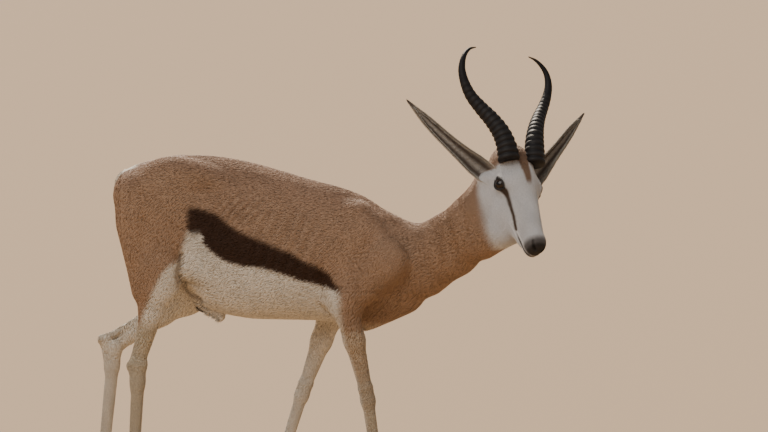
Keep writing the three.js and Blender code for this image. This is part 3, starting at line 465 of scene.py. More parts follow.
def surface_net(field, low, high, cell, side=4):
    """A net of squares over the zero surface: one vertex in each crossed cell of a grid, at the mean of
    its edge crossings, found only in the blocks of cells that lie near the surface."""
    size = cell * side
    counts = np.ceil((high - low) / size).astype(int)
    blocks = np.stack(np.meshgrid(*[np.arange(n) for n in counts], indexing="ij"), -1).reshape(-1, 3)
    blocks = blocks[np.lexsort((blocks // 6).T[::-1])]
    blocks = blocks[np.abs(field(low + (blocks + 0.5) * size)) < size * 1.65]
    steps = np.arange(side + 1)
    local = np.stack(np.meshgrid(steps, steps, steps, indexing="ij"), -1).reshape(-1, 3)
    points = low + (blocks[:, None] * side + local) * cell
    value = field(points.reshape(-1, 3)).reshape(len(blocks), side + 1, side + 1, side + 1)
    inside = value < 0

    def corner(array, i, j, k):
        """The grid's values at one corner of every cell."""
        return array[:, i:i + side, j:j + side, k:k + side]

    corners = [(i, j, k) for i in (0, 1) for j in (0, 1) for k in (0, 1)]
    count = sum(corner(inside, *c).astype(int) for c in corners)
    active = np.nonzero((count > 0) & (count < 8))
    values = [corner(value, *c)[active] for c in corners]
    total = np.zeros((len(active[0]), 3))
    crossings = np.zeros(len(active[0]))
    for a in range(8):
        for b in range(a + 1, 8):
            ca, cb = np.array(corners[a]), np.array(corners[b])
            if np.abs(ca - cb).sum() != 1:
                continue
            hit = (values[a] < 0) != (values[b] < 0)
            t = values[a][hit] / (values[a][hit] - values[b][hit])
            total[hit] += ca + (cb - ca) * t[:, None]
            crossings[hit] += 1
    cells = blocks[active[0]] * side + np.stack(active[1:], 1)
    vertices = low + (cells + total / crossings[:, None]) * cell
    span = counts * side + 4

    def key(c):
        """A whole number of its own for each cell."""
        return (c[:, 0] * span[1] + c[:, 1]) * span[2] + c[:, 2]

    keys = key(cells)
    order = np.argsort(keys)
    ordered = keys[order]
    quads = []
    for axis in range(3):
        step = np.zeros(3, int)
        step[axis] = 1
        here, there = corner(inside, 0, 0, 0), corner(inside, *step)
        crossed = np.nonzero(here != there)
        at = blocks[crossed[0]] * side + np.stack(crossed[1:], 1)
        b, c = (axis + 1) % 3, (axis + 2) % 3
        ring = []
        found = np.ones(len(at), bool)
        for db, dc in ((-1, -1), (0, -1), (0, 0), (-1, 0)):
            near = at.copy()
            near[:, b] += db
            near[:, c] += dc
            want = key(near)
            spot = np.minimum(np.searchsorted(ordered, want), len(ordered) - 1)
            found &= ordered[spot] == want
            ring.append(order[spot])
        quad = np.stack(ring, 1)
        quad[~here[crossed]] = quad[~here[crossed]][:, ::-1]
        quads.append(quad[found])
    return vertices, np.concatenate(quads)


def refine(vertices, quads, pick):
    """Splits the picked squares in four, and fans the squares beside them so that no gap opens."""
    picked, rest = quads[pick], quads[~pick]
    total = len(vertices)

    def edge_keys(q):
        """A whole number of its own for each edge of the squares, whichever way it runs."""
        ends = np.stack([q, np.roll(q, -1, axis=1)], -1)
        return ends.min(-1) * total + ends.max(-1)

    keys = edge_keys(picked)
    unique, inverse = np.unique(keys.ravel(), return_inverse=True)
    middles = (vertices[unique // total] + vertices[unique % total]) / 2
    m = total + inverse.reshape(-1, 4)
    centre = total + len(unique) + np.arange(len(picked))
    fine = [np.stack([picked[:, i], m[:, i], centre, m[:, i - 1]], 1) for i in range(4)]
    rest_keys = edge_keys(rest)
    spot = np.minimum(np.searchsorted(unique, rest_keys), len(unique) - 1)
    shared = unique[spot] == rest_keys
    border = shared.any(1)
    edge, spot, shared = rest[border], spot[border], shared[border]
    hub = total + len(unique) + len(picked) + np.arange(len(edge))
    fans = []
    for i in range(4):
        a, b, split, mid = edge[:, i], edge[:, (i + 1) % 4], shared[:, i], total + spot[:, i]
        fans.append(np.stack([a, b, hub], 1)[~split])
        fans.append(np.stack([a, mid, hub], 1)[split])
        fans.append(np.stack([mid, b, hub], 1)[split])
    vertices = np.concatenate([vertices, middles, vertices[picked].mean(1), vertices[edge].mean(1)])
    return vertices, np.concatenate([rest[~border]] + fine), np.concatenate(fans)


def smooth_line(points, count):
    """Even steps along a centripetal cubic through the points: places and unit tangents."""
    p = np.asarray(points, float)
    knots = np.concatenate([[0], np.cumsum(np.linalg.norm(np.diff(p, axis=0), axis=1) ** 0.5)])
    ends = np.concatenate([2 * p[:1] - p[1:2], p, 2 * p[-1:] - p[-2:-1]])
    gaps = np.diff(np.concatenate([[2 * knots[0] - knots[1]], knots, [2 * knots[-1] - knots[-2]]]))[:, None]
    rate = np.diff(ends, axis=0) / gaps
    slopes = rate[:-1] - (ends[2:] - ends[:-2]) / (gaps[1:] + gaps[:-1]) + rate[1:]
    t = np.linspace(0, knots[-1], 400)
    i = np.clip(np.searchsorted(knots, t, side="right") - 1, 0, len(p) - 2)
    width = (knots[i + 1] - knots[i])[:, None]
    s = (t[:, None] - knots[i][:, None]) / width
    dense = ((2 * s ** 3 - 3 * s ** 2 + 1) * p[i] + (s ** 3 - 2 * s ** 2 + s) * slopes[i] * width
             + (3 * s ** 2 - 2 * s ** 3) * p[i + 1] + (s ** 3 - s ** 2) * slopes[i + 1] * width)
    run = np.concatenate([[0], np.cumsum(np.linalg.norm(np.diff(dense[:, :3], axis=0), axis=1))])
    share = np.linspace(0, 1, count) if np.isscalar(count) else np.asarray(count)
    at = np.stack([np.interp(share * run[-1], run, dense[:, k]) for k in range(dense.shape[1])], 1)
    ahead = np.stack([np.interp(share * run[-1] + 1.0, run, dense[:, k]) for k in range(3)], 1)
    behind = np.stack([np.interp(share * run[-1] - 1.0, run, dense[:, k]) for k in range(3)], 1)
    return at, unit(ahead - behind)


def tube(rings):
    """Squares that join rings of equal count, with both ends closed by fans of triangles to their middles."""
    rows, sides = rings.shape[:2]
    vertices = rings.reshape(-1, 3)
    i, j = np.meshgrid(np.arange(rows - 1), np.arange(sides), indexing="ij")
    n = (j + 1) % sides
    quads = np.stack([i * sides + j, i * sides + n, (i + 1) * sides + n, (i + 1) * sides + j], -1)
    k = np.arange(sides)
    n = (k + 1) % sides
    first, last, base = len(vertices), len(vertices) + 1, (rows - 1) * sides
    vertices = np.concatenate([vertices, rings[0].mean(0)[None], rings[-1].mean(0)[None]])
    triangles = np.concatenate([np.stack([n, k, np.full(sides, first)], 1),
                                np.stack([base + k, base + n, np.full(sides, last)], 1)])
    return face_out(vertices, quads.reshape(-1, 4), triangles)


def face_out(vertices, quads, triangles):
    """Turns all faces over when the volume they enclose comes out negative."""
    tris = np.concatenate([quads[:, [0, 1, 2]], quads[:, [0, 2, 3]], triangles])
    a, b, c = vertices[tris[:, 0]], vertices[tris[:, 1]], vertices[tris[:, 2]]
    if np.einsum("ij,ij->i", a, np.cross(b, c)).sum() < 0:
        quads, triangles = quads[:, ::-1], triangles[:, ::-1]
    return vertices, quads, triangles


def join(parts, faces=(1, 2)):
    """Puts sets of arrays together as one; the arrays of faces count on from the vertices before them."""
    offset = 0
    moved = []
    for part in parts:
        moved.append([array + offset if k in faces else array for k, array in enumerate(part)])
        offset += len(part[0])
    return [np.concatenate(each) for each in zip(*moved)]


def capped(colour):
    """The colours of a tube's rings, with those of the middles of its two ends."""
    return np.concatenate([colour, colour[:1], colour[-1:]])


def make_mesh(name, vertices, quads, triangles, colours=None, uv=None):
    """A mesh object from arrays in millimetres of the field's frame, put in with foreach_set. On the unwrap
    a corner that lies further left than SEAM_SPAN from its face's rightmost one is drawn over to it."""
    mesh = bpy.data.meshes.new(name)
    places = (vertices - ORIGIN) / 1000
    loops = np.concatenate([quads.ravel(), triangles.ravel()]).astype(np.int32)
    sizes = np.concatenate([np.full(len(quads), 4), np.full(len(triangles), 3)])
    starts = np.concatenate([[0], np.cumsum(sizes)[:-1]]).astype(np.int32)
    mesh.vertices.add(len(places))
    mesh.vertices.foreach_set("co", places.astype(np.float32).ravel())
    mesh.loops.add(len(loops))
    mesh.loops.foreach_set("vertex_index", loops)
    mesh.polygons.add(len(sizes))
    mesh.polygons.foreach_set("loop_start", starts)
    mesh.polygons.foreach_set("use_smooth", np.full(len(sizes), True))
    mesh.update(calc_edges=True)
    if colours is not None:
        layer = mesh.color_attributes.new("coat", "FLOAT_COLOR", "POINT")
        flat = np.concatenate([colours, np.ones((len(colours), 1))], 1).astype(np.float32)
        layer.data.foreach_set("color", flat.ravel())
    if uv is not None:
        corners = uv[loops]
        furthest = np.repeat(np.maximum.reduceat(corners[:, 0], starts), sizes)
        corners[:, 0] = np.where(furthest - corners[:, 0] > SEAM_SPAN, furthest, corners[:, 0])
        mesh.uv_layers.new(name="OFBake").data.foreach_set("uv", corners.astype(np.float32).ravel())
    mesh.validate()
    piece = bpy.data.objects.new(name, mesh)
    bpy.context.scene.collection.objects.link(piece)
    return piece


# Markings

def mottle(p, scale, seed):
    """Soft noise from -1 to 1: the mean of eight sine waves in fixed random directions."""
    draw = np.random.default_rng(seed)
    turn = unit(draw.normal(size=(8, 3))) * draw.uniform(0.7, 1.6, (8, 1)) / scale
    return np.sin(p @ turn.T + draw.uniform(0, 6.28, 8)).mean(1) * 1.6


def far_from(p, line):
    """The distance from each point to a line through several places."""
    best = np.full(len(p), 1e9)
    for a, b in zip(line[:-1], line[1:]):
        along = b - a
        t = np.clip((p - a) @ along / (along @ along), 0, 1)
        best = np.minimum(best, np.linalg.norm(p - a - t[:, None] * along, axis=1))
    return best


def markings(p, normal):
    """The coat's colour at each point: tan, covered in turn by each marking, whose share goes from 0 to 1
    in smooth steps over X, Z, the distance from the middle plane, or the way the skin faces."""
    wave = mottle(p, 16, 5)
    x, y, z = p[:, 0] + 4 * wave, p[:, 1], p[:, 2] + 4 * mottle(p, 14, 6)
    wide = np.abs(y)

    colour = np.tile(TAN, (len(p), 1))

    def lay(top, share):
        """Covers the colour so far with another, by a share from 0 to 1 at each point."""
        nonlocal colour
        colour = colour + (top - colour) * np.clip(share, 0, 1)[:, None]

    lay(BACK, ramp(normal[:, 2], 0.2, 0.9) * ramp(z, 560, 700) * 0.8)
    outward = normal[:, 1] * np.sign(y)
    # Trunk: white belly, dark band above it
    low, high = np.interp(x, *BAND_LOW), np.interp(x, *BAND_TOP)
    on_trunk = ramp(x, -228, -214) * (1 - ramp(x, 96, 122))
    lay(DARK, ramp(z, low - 4, low + 4) * (1 - ramp(z, high - 7, high + 8)) * on_trunk)
    lay(WHITE, (1 - ramp(z, low - 4, low + 4)) * on_trunk)
    lay(WHITE, (1 - ramp(z, 446, 462)) * ramp(x, 90, 110) * (1 - ramp(wide, 40, 52)))
    lay(WHITE, ramp(x, 96, 120) * (1 - ramp(wide, 24, 40)) * (1 - ramp(z, 452, 474))
        * (1 - ramp(x, 190, 230)))
    # Hind quarters: the thigh is tan outside, white before, inside and on the rump
    edge = np.interp(z, *THIGH_LINE)
    rear = x < -190
    lay(WHITE, ramp(x, edge - 6, edge + 8) * (1 - ramp(z, 612, 632)) * rear)
    lay(WHITE, (1 - ramp(outward, -0.25, 0.15)) * (z < 640) * (wide > 8) * (x < -150))
    rump = np.interp(z, [430, 560, 680, 735, 765, 790], [70, 62, 52, 44, 22, 8])
    back_face = ramp(-normal[:, 0], 0.1, 0.5) + (z > 740)
    lay(WHITE, (1 - ramp(wide, rump - 5, rump + 6)) * (1 - ramp(x, -352, -335)) * back_face)
    lay(WHITE, (1 - ramp(wide, 2, 6)) * (1 - ramp(x, -300, -150)) * (z > 740) * 0.6)
    lay(WHITE, (1 - ramp(wide, 38, 52)) * (1 - ramp(z, 600, 630)) * (1 - ramp(x, -240, -200)))
    # Painted shade: the coat is darkened along the groin's fold, where thigh and belly meet
    groin = far_from(np.stack([x, 0 * x, z], 1), GROIN_SHADE_LINE)
    lay(BROW * 0.5, (1 - ramp(groin, 2, 8)) * ramp(outward, 0, 0.3) * 0.55)
    # Legs: pale grey-tan outside and before, white inside
    leg = 1 - ramp(z, 405, 440)
    fore = x > -120
    shade = mix(LEG_PALE, LEG_TAN, (ramp(z, 120, 400) * ramp(outward, -0.1, 0.5) * fore)[:, None])
    colour = colour + (shade - colour) * leg[:, None]
    lay(WHITE, leg * (1 - ramp(outward + 0.35 * normal[:, 0] * fore, -0.25, 0.2)) * 0.85)
    lay(TAN * 0.9, (1 - leg) * ramp(outward, -0.2, 0.2) * ramp(x, 108, 130) * (z < 470) * fore)
    lay(WHITE * 0.95, fore * (1 - ramp(z, 430, 452)) * ramp(-normal[:, 0], 0.25, 0.7) * 0.7)
    lay(BROW * 0.6, (1 - ramp(z, 34, 62)) * 0.45)
    # Sheath
    tip = np.linalg.norm(p - SHEATH, axis=1)
    lay(BROW * 0.5, (1 - ramp(tip, 9, 20)) * (z < 462))
    # Head
    f, l, u = head_place(p)
    side = np.abs(l)
    on_head = ramp(u, -112, -96) * (p[:, 0] > HEAD_FROM)
    nape = 1 - ramp(f + 0.22 * side, 6, 18)
    cheek = ramp(u + 0.42 * f + 5 * wave, -84, -62) * (p[:, 0] > HEAD_FROM) * ramp(f, -10, 10)
    lay(BROW * 1.3, on_head)
    lay(FACE_WHITE, cheek * (1 - nape))
    width = 15 - 0.16 * np.maximum(f, 0)
    patch = (1 - ramp(side + 2 * wave, width - 3, width + 4)) * (1 - ramp(f, 52, 70))
    lay(BROW, patch * (u > -30))
    mirrored = np.stack([f, side, u], 1)
    line = far_from(mirrored, STRIPE)
    reach = mix(7.5, 3.4, ramp(f, 52, 120))
    lay(BROW * 0.35, (1 - ramp(line, reach - 2, reach + 2.5)) * cheek)
    snout = ramp(f, 186, 204) * ramp(u, -54, -44)
    lay(NOSE * 3, snout * 0.9)
    lay(NOSE, ramp(f, 205, 213) * ramp(u, -52, -44))
    lips = np.abs(u + 53 + 0.02 * (f - 178)) + 40 * (f < 158)
    lay(NOSE * 2, (1 - ramp(lips, 1.5, 3.5)) * on_head * ramp(f, 158, 183))
    eye = lid_distance(p)
    lay(NOSE, (1 - ramp(eye, 2.5, 6.0)) * on_head)
    return np.clip(colour * (1 + 0.07 * mottle(p, 9, 7) + 0.05 * mottle(p, 45, 8))[:, None], 0.004, 0.9)


# Relief of the face

def eye_frame(side):
    """An eye's centre, the way it looks, and the two directions across its opening."""
    axis = EYE_AXIS[0] * FACE + side * EYE_AXIS[1] * SIDE + EYE_AXIS[2] * CROWN
    slant = FACE + 0.45 * CROWN
    along = unit(slant - slant @ axis * axis)
    return head(EYE["f"], side * EYE["l"], EYE["u"]), axis, along, np.cross(axis, along) * side


def lens(a, b):
    """Distance to an almond: the overlap of two discs that stand apart."""
    return np.hypot(a, np.abs(b) + LENS_SHIFT) - LENS_RADIUS


def lid_distance(p):
    """Distance from the rim of the nearer eye's opening, less than 0 inside it: the lens formula in the
    plane across the eye's gaze, on the side that it looks to."""
    best = np.full(len(p), 99.0)
    for side in (-1, 1):
        centre, axis, along, up = eye_frame(side)
        q = p - centre
        d = np.where(q @ axis > 0, lens(q @ along, q @ up), 99.0)
        best = np.minimum(best, d)
    return best


def face_line(side, f, l, u, count):
    """A line on one side of the face: f and u go evenly from end to end, l with the square of the way,
    and its points are then settled on the body."""
    t = np.linspace(0, 1, count)
    f, l, u = mix(*f, t), side * mix(*l, t * t), mix(*u, t)
    return settle(body, HEAD_ORIGIN + f[:, None] * FACE + l[:, None] * SIDE + u[:, None] * CROWN, 4, 20)


def carve_face(p, normal):
    """Lip line and nostrils are grooves with a rim, each a bell of the distance from its line. Near an eye
    the skin is drawn to a lid of even thickness round the ball, and inside its opening behind the ball."""
    out = p.copy()
    lift = np.zeros(len(p))
    for f, l, u, count, (height, place, spread), (depth, width) in FACE_LINES:
        for side in (-1, 1):
            d = far_from(p, face_line(side, f, l, u, count))
            lift += height * np.exp(-((d - place) / spread) ** 2) - depth * np.exp(-(d / width) ** 2)
    out += normal * lift[:, None]
    for side in (-1, 1):
        centre, axis, along, up = eye_frame(side)
        q = out - centre
        reach = np.linalg.norm(q, axis=1)
        d = lens(q @ along, q @ up)
        ball = EYE["radius"]
        lid = ball + 2.3 + 0.9 * np.exp(-((d - 2.0) / 1.8) ** 2)
        target = mix(np.full(len(p), ball - 3.5), lid, ramp(d, -0.9, 0.9))
        share = (1 - ramp(d, 3.5, 12)) * ramp(q @ axis, -2, 4)
        new = mix(reach, target, share)
        crease = -1.0 * np.exp(-((d - 5.5) / 1.3) ** 2) * (q @ up > 0) * share
        near = reach < 40
        out[near] = centre + q[near] / reach[near, None] * (new + crease)[near, None]
    return out


# Ears and tail

def in_head(v):
    """The direction whose parts along the head's three axes are v."""
    return v[0] * FACE + v[1] * SIDE + v[2] * CROWN


def ear_point(name, t, a, wall):
    """A place on an ear: t from root to tip, a round the cup from edge to edge, wall in from its back."""
    root, line, face, bend, sag, wide = EARS[name]
    along = unit(in_head(line))
    facing = in_head(face)
    facing = unit(facing - facing @ along * along)
    across = np.cross(along, facing)
    s = np.clip(t, 0, 1)
    width = np.interp(s, *EAR_WIDTH) * wide
    width = np.maximum(width * (1 + 0.04 * np.sin(9 * s)) - 0.8, 0.6)
    deep = mix(1.25, 0.55, np.clip(s * 1.6, 0, 1)) * width
    thick = np.minimum(wall, width * 0.4)
    w = (width - thick * 0.8) * np.sin(a)
    d = -np.maximum(deep - thick, 0.25 * deep) * (np.cos(a) - math.cos(EAR_ARC)) / (1 - math.cos(EAR_ARC))
    centre = (head(*root) + (t * np.linalg.norm(line))[:, None] * along
              + (bend * np.sin(np.pi * s) + 10 * s * s)[:, None] * facing
              + (sag * np.sin(np.pi * s))[:, None] * across)
    return centre + w[:, None] * across + (d + 0.4 * (wall > 0))[:, None] * facing


def ear_colours(t, a, inner):
    """Tan back, dark inside with pale lengthwise rows of hair, and a pale rim."""
    back = mix(BROW * 1.3, vec(0.42, 0.36, 0.29), ramp(t, 0.1, 0.5)[:, None])
    rows = 0.5 + 0.5 * np.cos(a * 5.4)
    cup = mix(vec(0.10, 0.075, 0.06), vec(0.46, 0.42, 0.37), (rows * 0.8 * (1 - ramp(t, 0.75, 1)))[:, None])
    colour = np.where(inner[:, None], cup, back)
    rim = ramp(np.abs(a), 1.35, 1.7)
    colour = colour + (vec(0.60, 0.54, 0.46) - colour) * (rim * 0.8)[:, None]
    return colour + (vec(0.09, 0.07, 0.06) - colour) * (ramp(t, 0.9, 1.0) * 0.7)[:, None]


def ear_shell(name):
    """A thin cupped leaf: rings that run round its back and then round its hollow."""
    t = np.concatenate([[-0.04, 0.0], np.linspace(0.03, 1, 46)])
    outer = np.linspace(-EAR_ARC, EAR_ARC, 22)
    inner = np.linspace(EAR_ARC, -EAR_ARC, 22)[1:-1]
    rows, columns = len(t), len(outer) + len(inner)
    rings = np.empty((rows, columns, 3))
    colours = np.empty((rows, columns, 3))
    for k, a in enumerate(np.concatenate([outer, inner])):
        hollow = k >= len(outer)
        rings[:, k] = ear_point(name, t, np.full(rows, a), EAR_WALL if hollow else 0.0)
        colours[:, k] = ear_colours(t, np.full(rows, a), np.full(rows, hollow))
    vertices, quads, triangles = tube(rings)
    flat = colours.reshape(-1, 3)
    return vertices, quads, triangles, capped(flat)


def tail_tube():
    """The tail's own skin: rings of 20 points swept along its line, slightly flat, narrowing evenly."""
    at, along = smooth_line(TAIL, 44)
    share = np.linspace(0, 1, 44)
    radius = mix(*TAIL_RADIUS, share)
    across = np.tile(vec(0, 1, 0), (44, 1))
    back = unit(np.cross(across, along))
    angle = np.linspace(0, 2 * np.pi, 20, endpoint=False)
    rings = (at[:, None] + np.cos(angle)[None, :, None] * (across * radius[:, None])[:, None]
             + np.sin(angle)[None, :, None] * (back * radius[:, None] * 0.9)[:, None])
    vertices, quads, triangles = tube(rings)
    colour = np.repeat(mix(WHITE, DARK, ramp(share, 0.62, 0.8)[:, None]), 20, axis=0)
    return vertices, quads, triangles, capped(colour)


# An unwrap of the skin's own shape: each part round its own axis, in a rectangle of its own

def charts():
    """Each chart's axis and its rectangle: left, bottom, width, height."""
    trunk_axis = [vec(-420, 0, 640), vec(-200, 0, 610), vec(100, 0, 570)] + NECK[1:]
    made = [(trunk_axis, (0.02, 0.02, 0.56, 0.96))]
    for name, left in zip(LEGS, (0.60, 0.70, 0.80, 0.90)):
        made.append((LEGS[name][1:], (left, 0.02, 0.09, 0.46)))
    made.append(([head(-60, 0, -45), head(215, 0, -35)], (0.60, 0.50, 0.26, 0.48)))
    for name, left in (("right", 0.87), ("left", 0.93)):
        root, line = EARS[name][:2]
        made.append(([head(*root), head(*root) + in_head(line)], (left, 0.50, 0.05, 0.30)))
    return made + [(TAIL, (0.87, 0.82, 0.11, 0.16))]


def chart_of(p):
    """Which chart each point of the skin belongs to."""
    chart = np.where(p[:, 2] < 440, 1 + 2 * (p[:, 0] <= -150) + (p[:, 1] >= 0), 0)
    _, _, u = head_place(p)
    chart[(u > HEAD_BACK) & (p[:, 0] > HEAD_FROM)] = 5
    return chart


def unwrap(p, chart):
    """Places on the unwrap, in the chart's rectangle: across it the angle round the nearest stretch of the
    chart's axis, and up it the length run along the axis, as a share of the whole."""
    uv = np.zeros((len(p), 2))
    for number, (axis, (left, bottom, width, height)) in enumerate(charts()):
        here = chart == number
        if not here.any():
            continue
        q = p[here]
        lengths = [np.linalg.norm(b - a) for a, b in zip(axis[:-1], axis[1:])]
        best = np.full(len(q), 1e9)
        run, angle = np.zeros(len(q)), np.zeros(len(q))
        done = 0.0
        for (a, b), size in zip(zip(axis[:-1], axis[1:]), lengths):
            along = (b - a) / size
            raw = (q - a) @ along
            t = np.clip(raw, 0, size)
            off = q - a - t[:, None] * along
            across = unit(np.cross(vec(0, 1, 0) if abs(along[1]) < 0.8 else vec(0, 0, 1), along))
            over = np.cross(along, across)
            distance = np.linalg.norm(off, axis=1)
            closer = distance < best
            best = np.where(closer, distance, best)
            run = np.where(closer, done + t, run)
            angle = np.where(closer, np.arctan2(off @ over, off @ across), angle)
            done += size
        uv[here, 0] = left + width * (angle / (2 * np.pi) + 0.5)
        uv[here, 1] = bottom + height * run / done
    return uv


# The coat

def lie_of(p):
    """The way the hair lies: back and down the trunk, down the legs, up the face from the nose."""
    x, z = p[:, 0], p[:, 2]
    _, _, u = head_place(p)
    head_share = (ramp(u, -125, -90) * (p[:, 0] > HEAD_FROM))[:, None]
    neck = (ramp(x, 215, 320)[:, None]) * (1 - head_share)
    leg = (1 - ramp(z, 395, 480))[:, None]
    thigh = ((1 - ramp(x, -260, -190)) * (1 - ramp(z, 640, 740)))[:, None]
    shoulder = (ramp(x, 40, 110) * (1 - ramp(z, 560, 680)))[:, None]
    way = np.tile(vec(-1, 0, -0.28), (len(p), 1))
    way[:, 2] -= 0.35 * (1 - ramp(z, 480, 640))
    way = mix(way, vec(-0.55, 0, -0.85), thigh)
    way = mix(way, vec(-0.6, 0, -0.8), shoulder * (1 - neck))
    way = mix(way, vec(-0.78, 0.2, -0.6), neck)
    way = mix(way, vec(-0.15, 0, -1), leg)
    rump = ((x < -370) & (z < 750))[:, None]
    way = np.where(rump, vec(-0.1, 0, -1), way)
    return mix(way, -FACE - 0.25 * CROWN * (u < -40)[:, None], head_share)


def hair_of(p, normal):
    """Length and half width of a tuft, and how far it stands off the skin, at each point."""
    x, z = p[:, 0], p[:, 2]
    f, l, u = head_place(p)
    length = (15 + 3 * ramp(-normal[:, 2], 0.2, 0.8) + 4 * ((x < -350) & (z > 560))
              + 5 * ((x > 120) & (z < 500)))
    length = mix(length, 7.5, 1 - ramp(z, 300, 440))
    length = mix(length, 5.5, 1 - ramp(z, 60, 200))
    on_head = ramp(u, -150, -96) * (p[:, 0] > HEAD_FROM)
    face = mix(np.full(len(p), 8.0), 4.2, ramp(f, 10, 60))
    face = mix(face, 2.8, ramp(f, 130, 195))
    length = mix(length, face, on_head)
    crown = on_head * (1 - ramp(np.hypot(f + 4, l), 16, 30)) * (u > -30)
    length = mix(length, 11, crown)
    sheath = (np.linalg.norm(p - SHEATH, axis=1) < 26) & (z < 470)
    length = np.where(sheath, 19, length)
    flank = (np.abs(x + 225) < 26) & (np.abs(z - 590) < 70) & (np.abs(p[:, 1]) > 60)
    length = length + 4 * flank
    half = 0.33 + 0.048 * length
    lift = 0.04 + 0.08 * np.exp(-length / 9)
    return length, half, lift + 0.10 * sheath


def scatter(vertices, triangles, weight, count, seed):
    """Random places on triangles, in proportion to area times weight: places and corner shares."""
    draw = np.random.default_rng(seed)
    a, b, c = (vertices[triangles[:, k]] for k in range(3))
    area = np.linalg.norm(np.cross(b - a, c - a), axis=1) * weight
    total = np.cumsum(area)
    even = (np.arange(count) + draw.uniform(0, 1, count)) / count * total[-1]
    pick = np.minimum(np.searchsorted(total, even), len(triangles) - 1)
    r1, r2 = np.sqrt(draw.uniform(0, 1, count)), draw.uniform(0, 1, count)
    shares = np.stack([1 - r1, r1 * (1 - r2), r1 * r2], 1)
    place = shares[:, :1] * a[pick] + shares[:, 1:2] * b[pick] + shares[:, 2:] * c[pick]
    return place, pick, shares


def tufts(root, normal, way, length, half, lift, colour, uv, seed, hug=None):
    """Closed, leaf-shaped tufts of six faces: root, three points round the widest place, and tip.
    The tip is drawn back towards the skin, so that each tuft lies along it."""
    draw = np.random.default_rng(seed)
    count = len(root)
    way = way - np.einsum("ij,ij->i", way, normal)[:, None] * normal
    way = unit(way + 0.10 * draw.normal(size=(count, 3)) * np.linalg.norm(way, axis=1, keepdims=True))
    way = unit(way - np.einsum("ij,ij->i", way, normal)[:, None] * normal)
    across = np.cross(normal, way)
    length = (length * draw.uniform(0.75, 1.2, count))[:, None]
    half = (half * draw.uniform(0.8, 1.25, count))[:, None]
    rise = (lift * draw.uniform(0.75, 1.25, count))[:, None] * length
    start = root - normal * np.minimum(0.10 * length, 1.0)
    middle = root + way * length * 0.42 + normal * (rise * 0.75 + 0.3)
    tip = root + way * length + normal * rise
    if hug is not None:
        tip -= normal * np.clip(hug(tip)[:, None] - rise * 1.15, -6, 6)
        middle -= normal * np.clip(hug(middle)[:, None] - rise * 0.8 - 0.3, -4, 4)
    left, right = middle - across * half, middle + across * half
    crest = middle + normal * half * 0.4
    vertices = np.stack([start, left, right, crest, tip], 1).reshape(-1, 3)
    base = np.arange(count)[:, None] * 5
    faces = [[0, 1, 3], [0, 3, 2], [0, 2, 1], [4, 3, 1], [4, 2, 3], [4, 1, 2]]
    triangles = np.concatenate([base + np.array(face) for face in faces])
    # Painted shade: each tuft is darker towards its root and a little lighter at its tip, over a random tone
    # per tuft
    shade = draw.uniform(0.90, 1.10, (count, 1, 1)) * vec(0.80, 0.99, 0.99, 1.0, 1.08)[None, :, None]
    colours = np.clip(colour[:, None] * shade, 0.003, 0.95).reshape(-1, 3)
    patch = TUFT_PATCH * np.array([[0, -1], [-1, -0.2], [1, -0.2], [0, 0.1], [0, 1]])
    places = (uv[:, None] + patch).reshape(-1, 2)
    return vertices, triangles, colours, places


MADE = {}


def make_skin():
    """The flesh as one mesh: a net of the field, split finer on legs and head, with the face's relief,
    the ears and the tail."""
    sizes = bpy.context.scene.springbok_sizes
    cell = sizes.skin_cell * 1000
    vertices, quads = surface_net(flesh, *NET_BOX, cell)
    vertices = settle(flesh, vertices, 2, cell * 0.5)
    centre = vertices[quads].mean(1)
    _, _, u = head_place(centre)
    on_head = (u > HEAD_BACK - 10) & (centre[:, 0] > 390)
    vertices, quads, first = refine(vertices, quads, on_head | (centre[:, 2] < 395))
    vertices = settle(flesh, vertices, 2, cell * 0.4)
    centre = vertices[quads].mean(1)
    f, _, u = head_place(centre)
    eye = np.minimum(*[np.linalg.norm(centre - eye_frame(side)[0], axis=1) for side in (-1, 1)])
    fine = (centre[:, 0] > 390) & (u > -85) & ((eye < 34) | (f > 112))
    vertices, quads, second = refine(vertices, quads, fine)
    vertices = settle(flesh, vertices, 1, cell * 0.3)
    triangles = np.concatenate([first, second])
    normal = unit(slope(flesh, vertices))
    colours = markings(vertices, normal)
    near = (vertices[:, 0] > 390) & (vertices[:, 2] > 500)
    vertices[near] = carve_face(vertices[near], normal[near])
    MADE["skin"] = (vertices, quads, triangles, normal, colours)
    chart = chart_of(vertices)
    uv = unwrap(vertices, chart)
    parts = [(vertices, quads, triangles, colours)]
    uvs = [uv]
    for number, name in ((6, "right"), (7, "left")):
        shell = ear_shell(name)
        parts.append(shell)
        uvs.append(unwrap(shell[0], np.full(len(shell[0]), number)))
    tail = tail_tube()
    parts.append(tail)
    uvs.append(unwrap(tail[0], np.full(len(tail[0]), 8)))
    vertices, quads, triangles, colours = join(parts)
    return make_mesh("skin", vertices, quads, triangles, colours, np.concatenate(uvs))


def skin_coat():
    """Tufts over trunk, legs and head, each with the colour of the skin at its root. There are more where
    they are small: in proportion to the area times a power, -0.62, of length times half width."""
    sizes = bpy.context.scene.springbok_sizes
    vertices, quads, triangles, normal, colours = MADE["skin"]
    tris = np.concatenate([quads[:, [0, 1, 2]], quads[:, [0, 2, 3]], triangles])
    centre = vertices[tris].mean(1)
    length, half, _ = hair_of(centre, normal[tris].mean(1))
    weight = (length * half) ** -0.62
    weight *= lid_distance(centre) > 2.0
    f, _, u = head_place(centre)
    weight *= ~((f > 212) & (u > -50) & (centre[:, 0] > 390))
    for name in ("left", "right"):
        root = head(*EARS[name][0])
        weight *= 1 - 0.4 * (np.linalg.norm(centre - root, axis=1) < 12)
    count = int(sizes.tuft_count)
    place, pick, shares = scatter(vertices, tris, weight, count, 11)
    corner = tris[pick]
    up = unit(np.einsum("ij,ijk->ik", shares, normal[corner]))
    colour = np.einsum("ij,ijk->ik", shares, colours[corner])
    length, half, lift = hair_of(place, up)
    scale = sizes.hair_scale
    uv = unwrap(place, chart_of(place))
    return place, up, lie_of(place), length * scale, half, lift, colour, uv


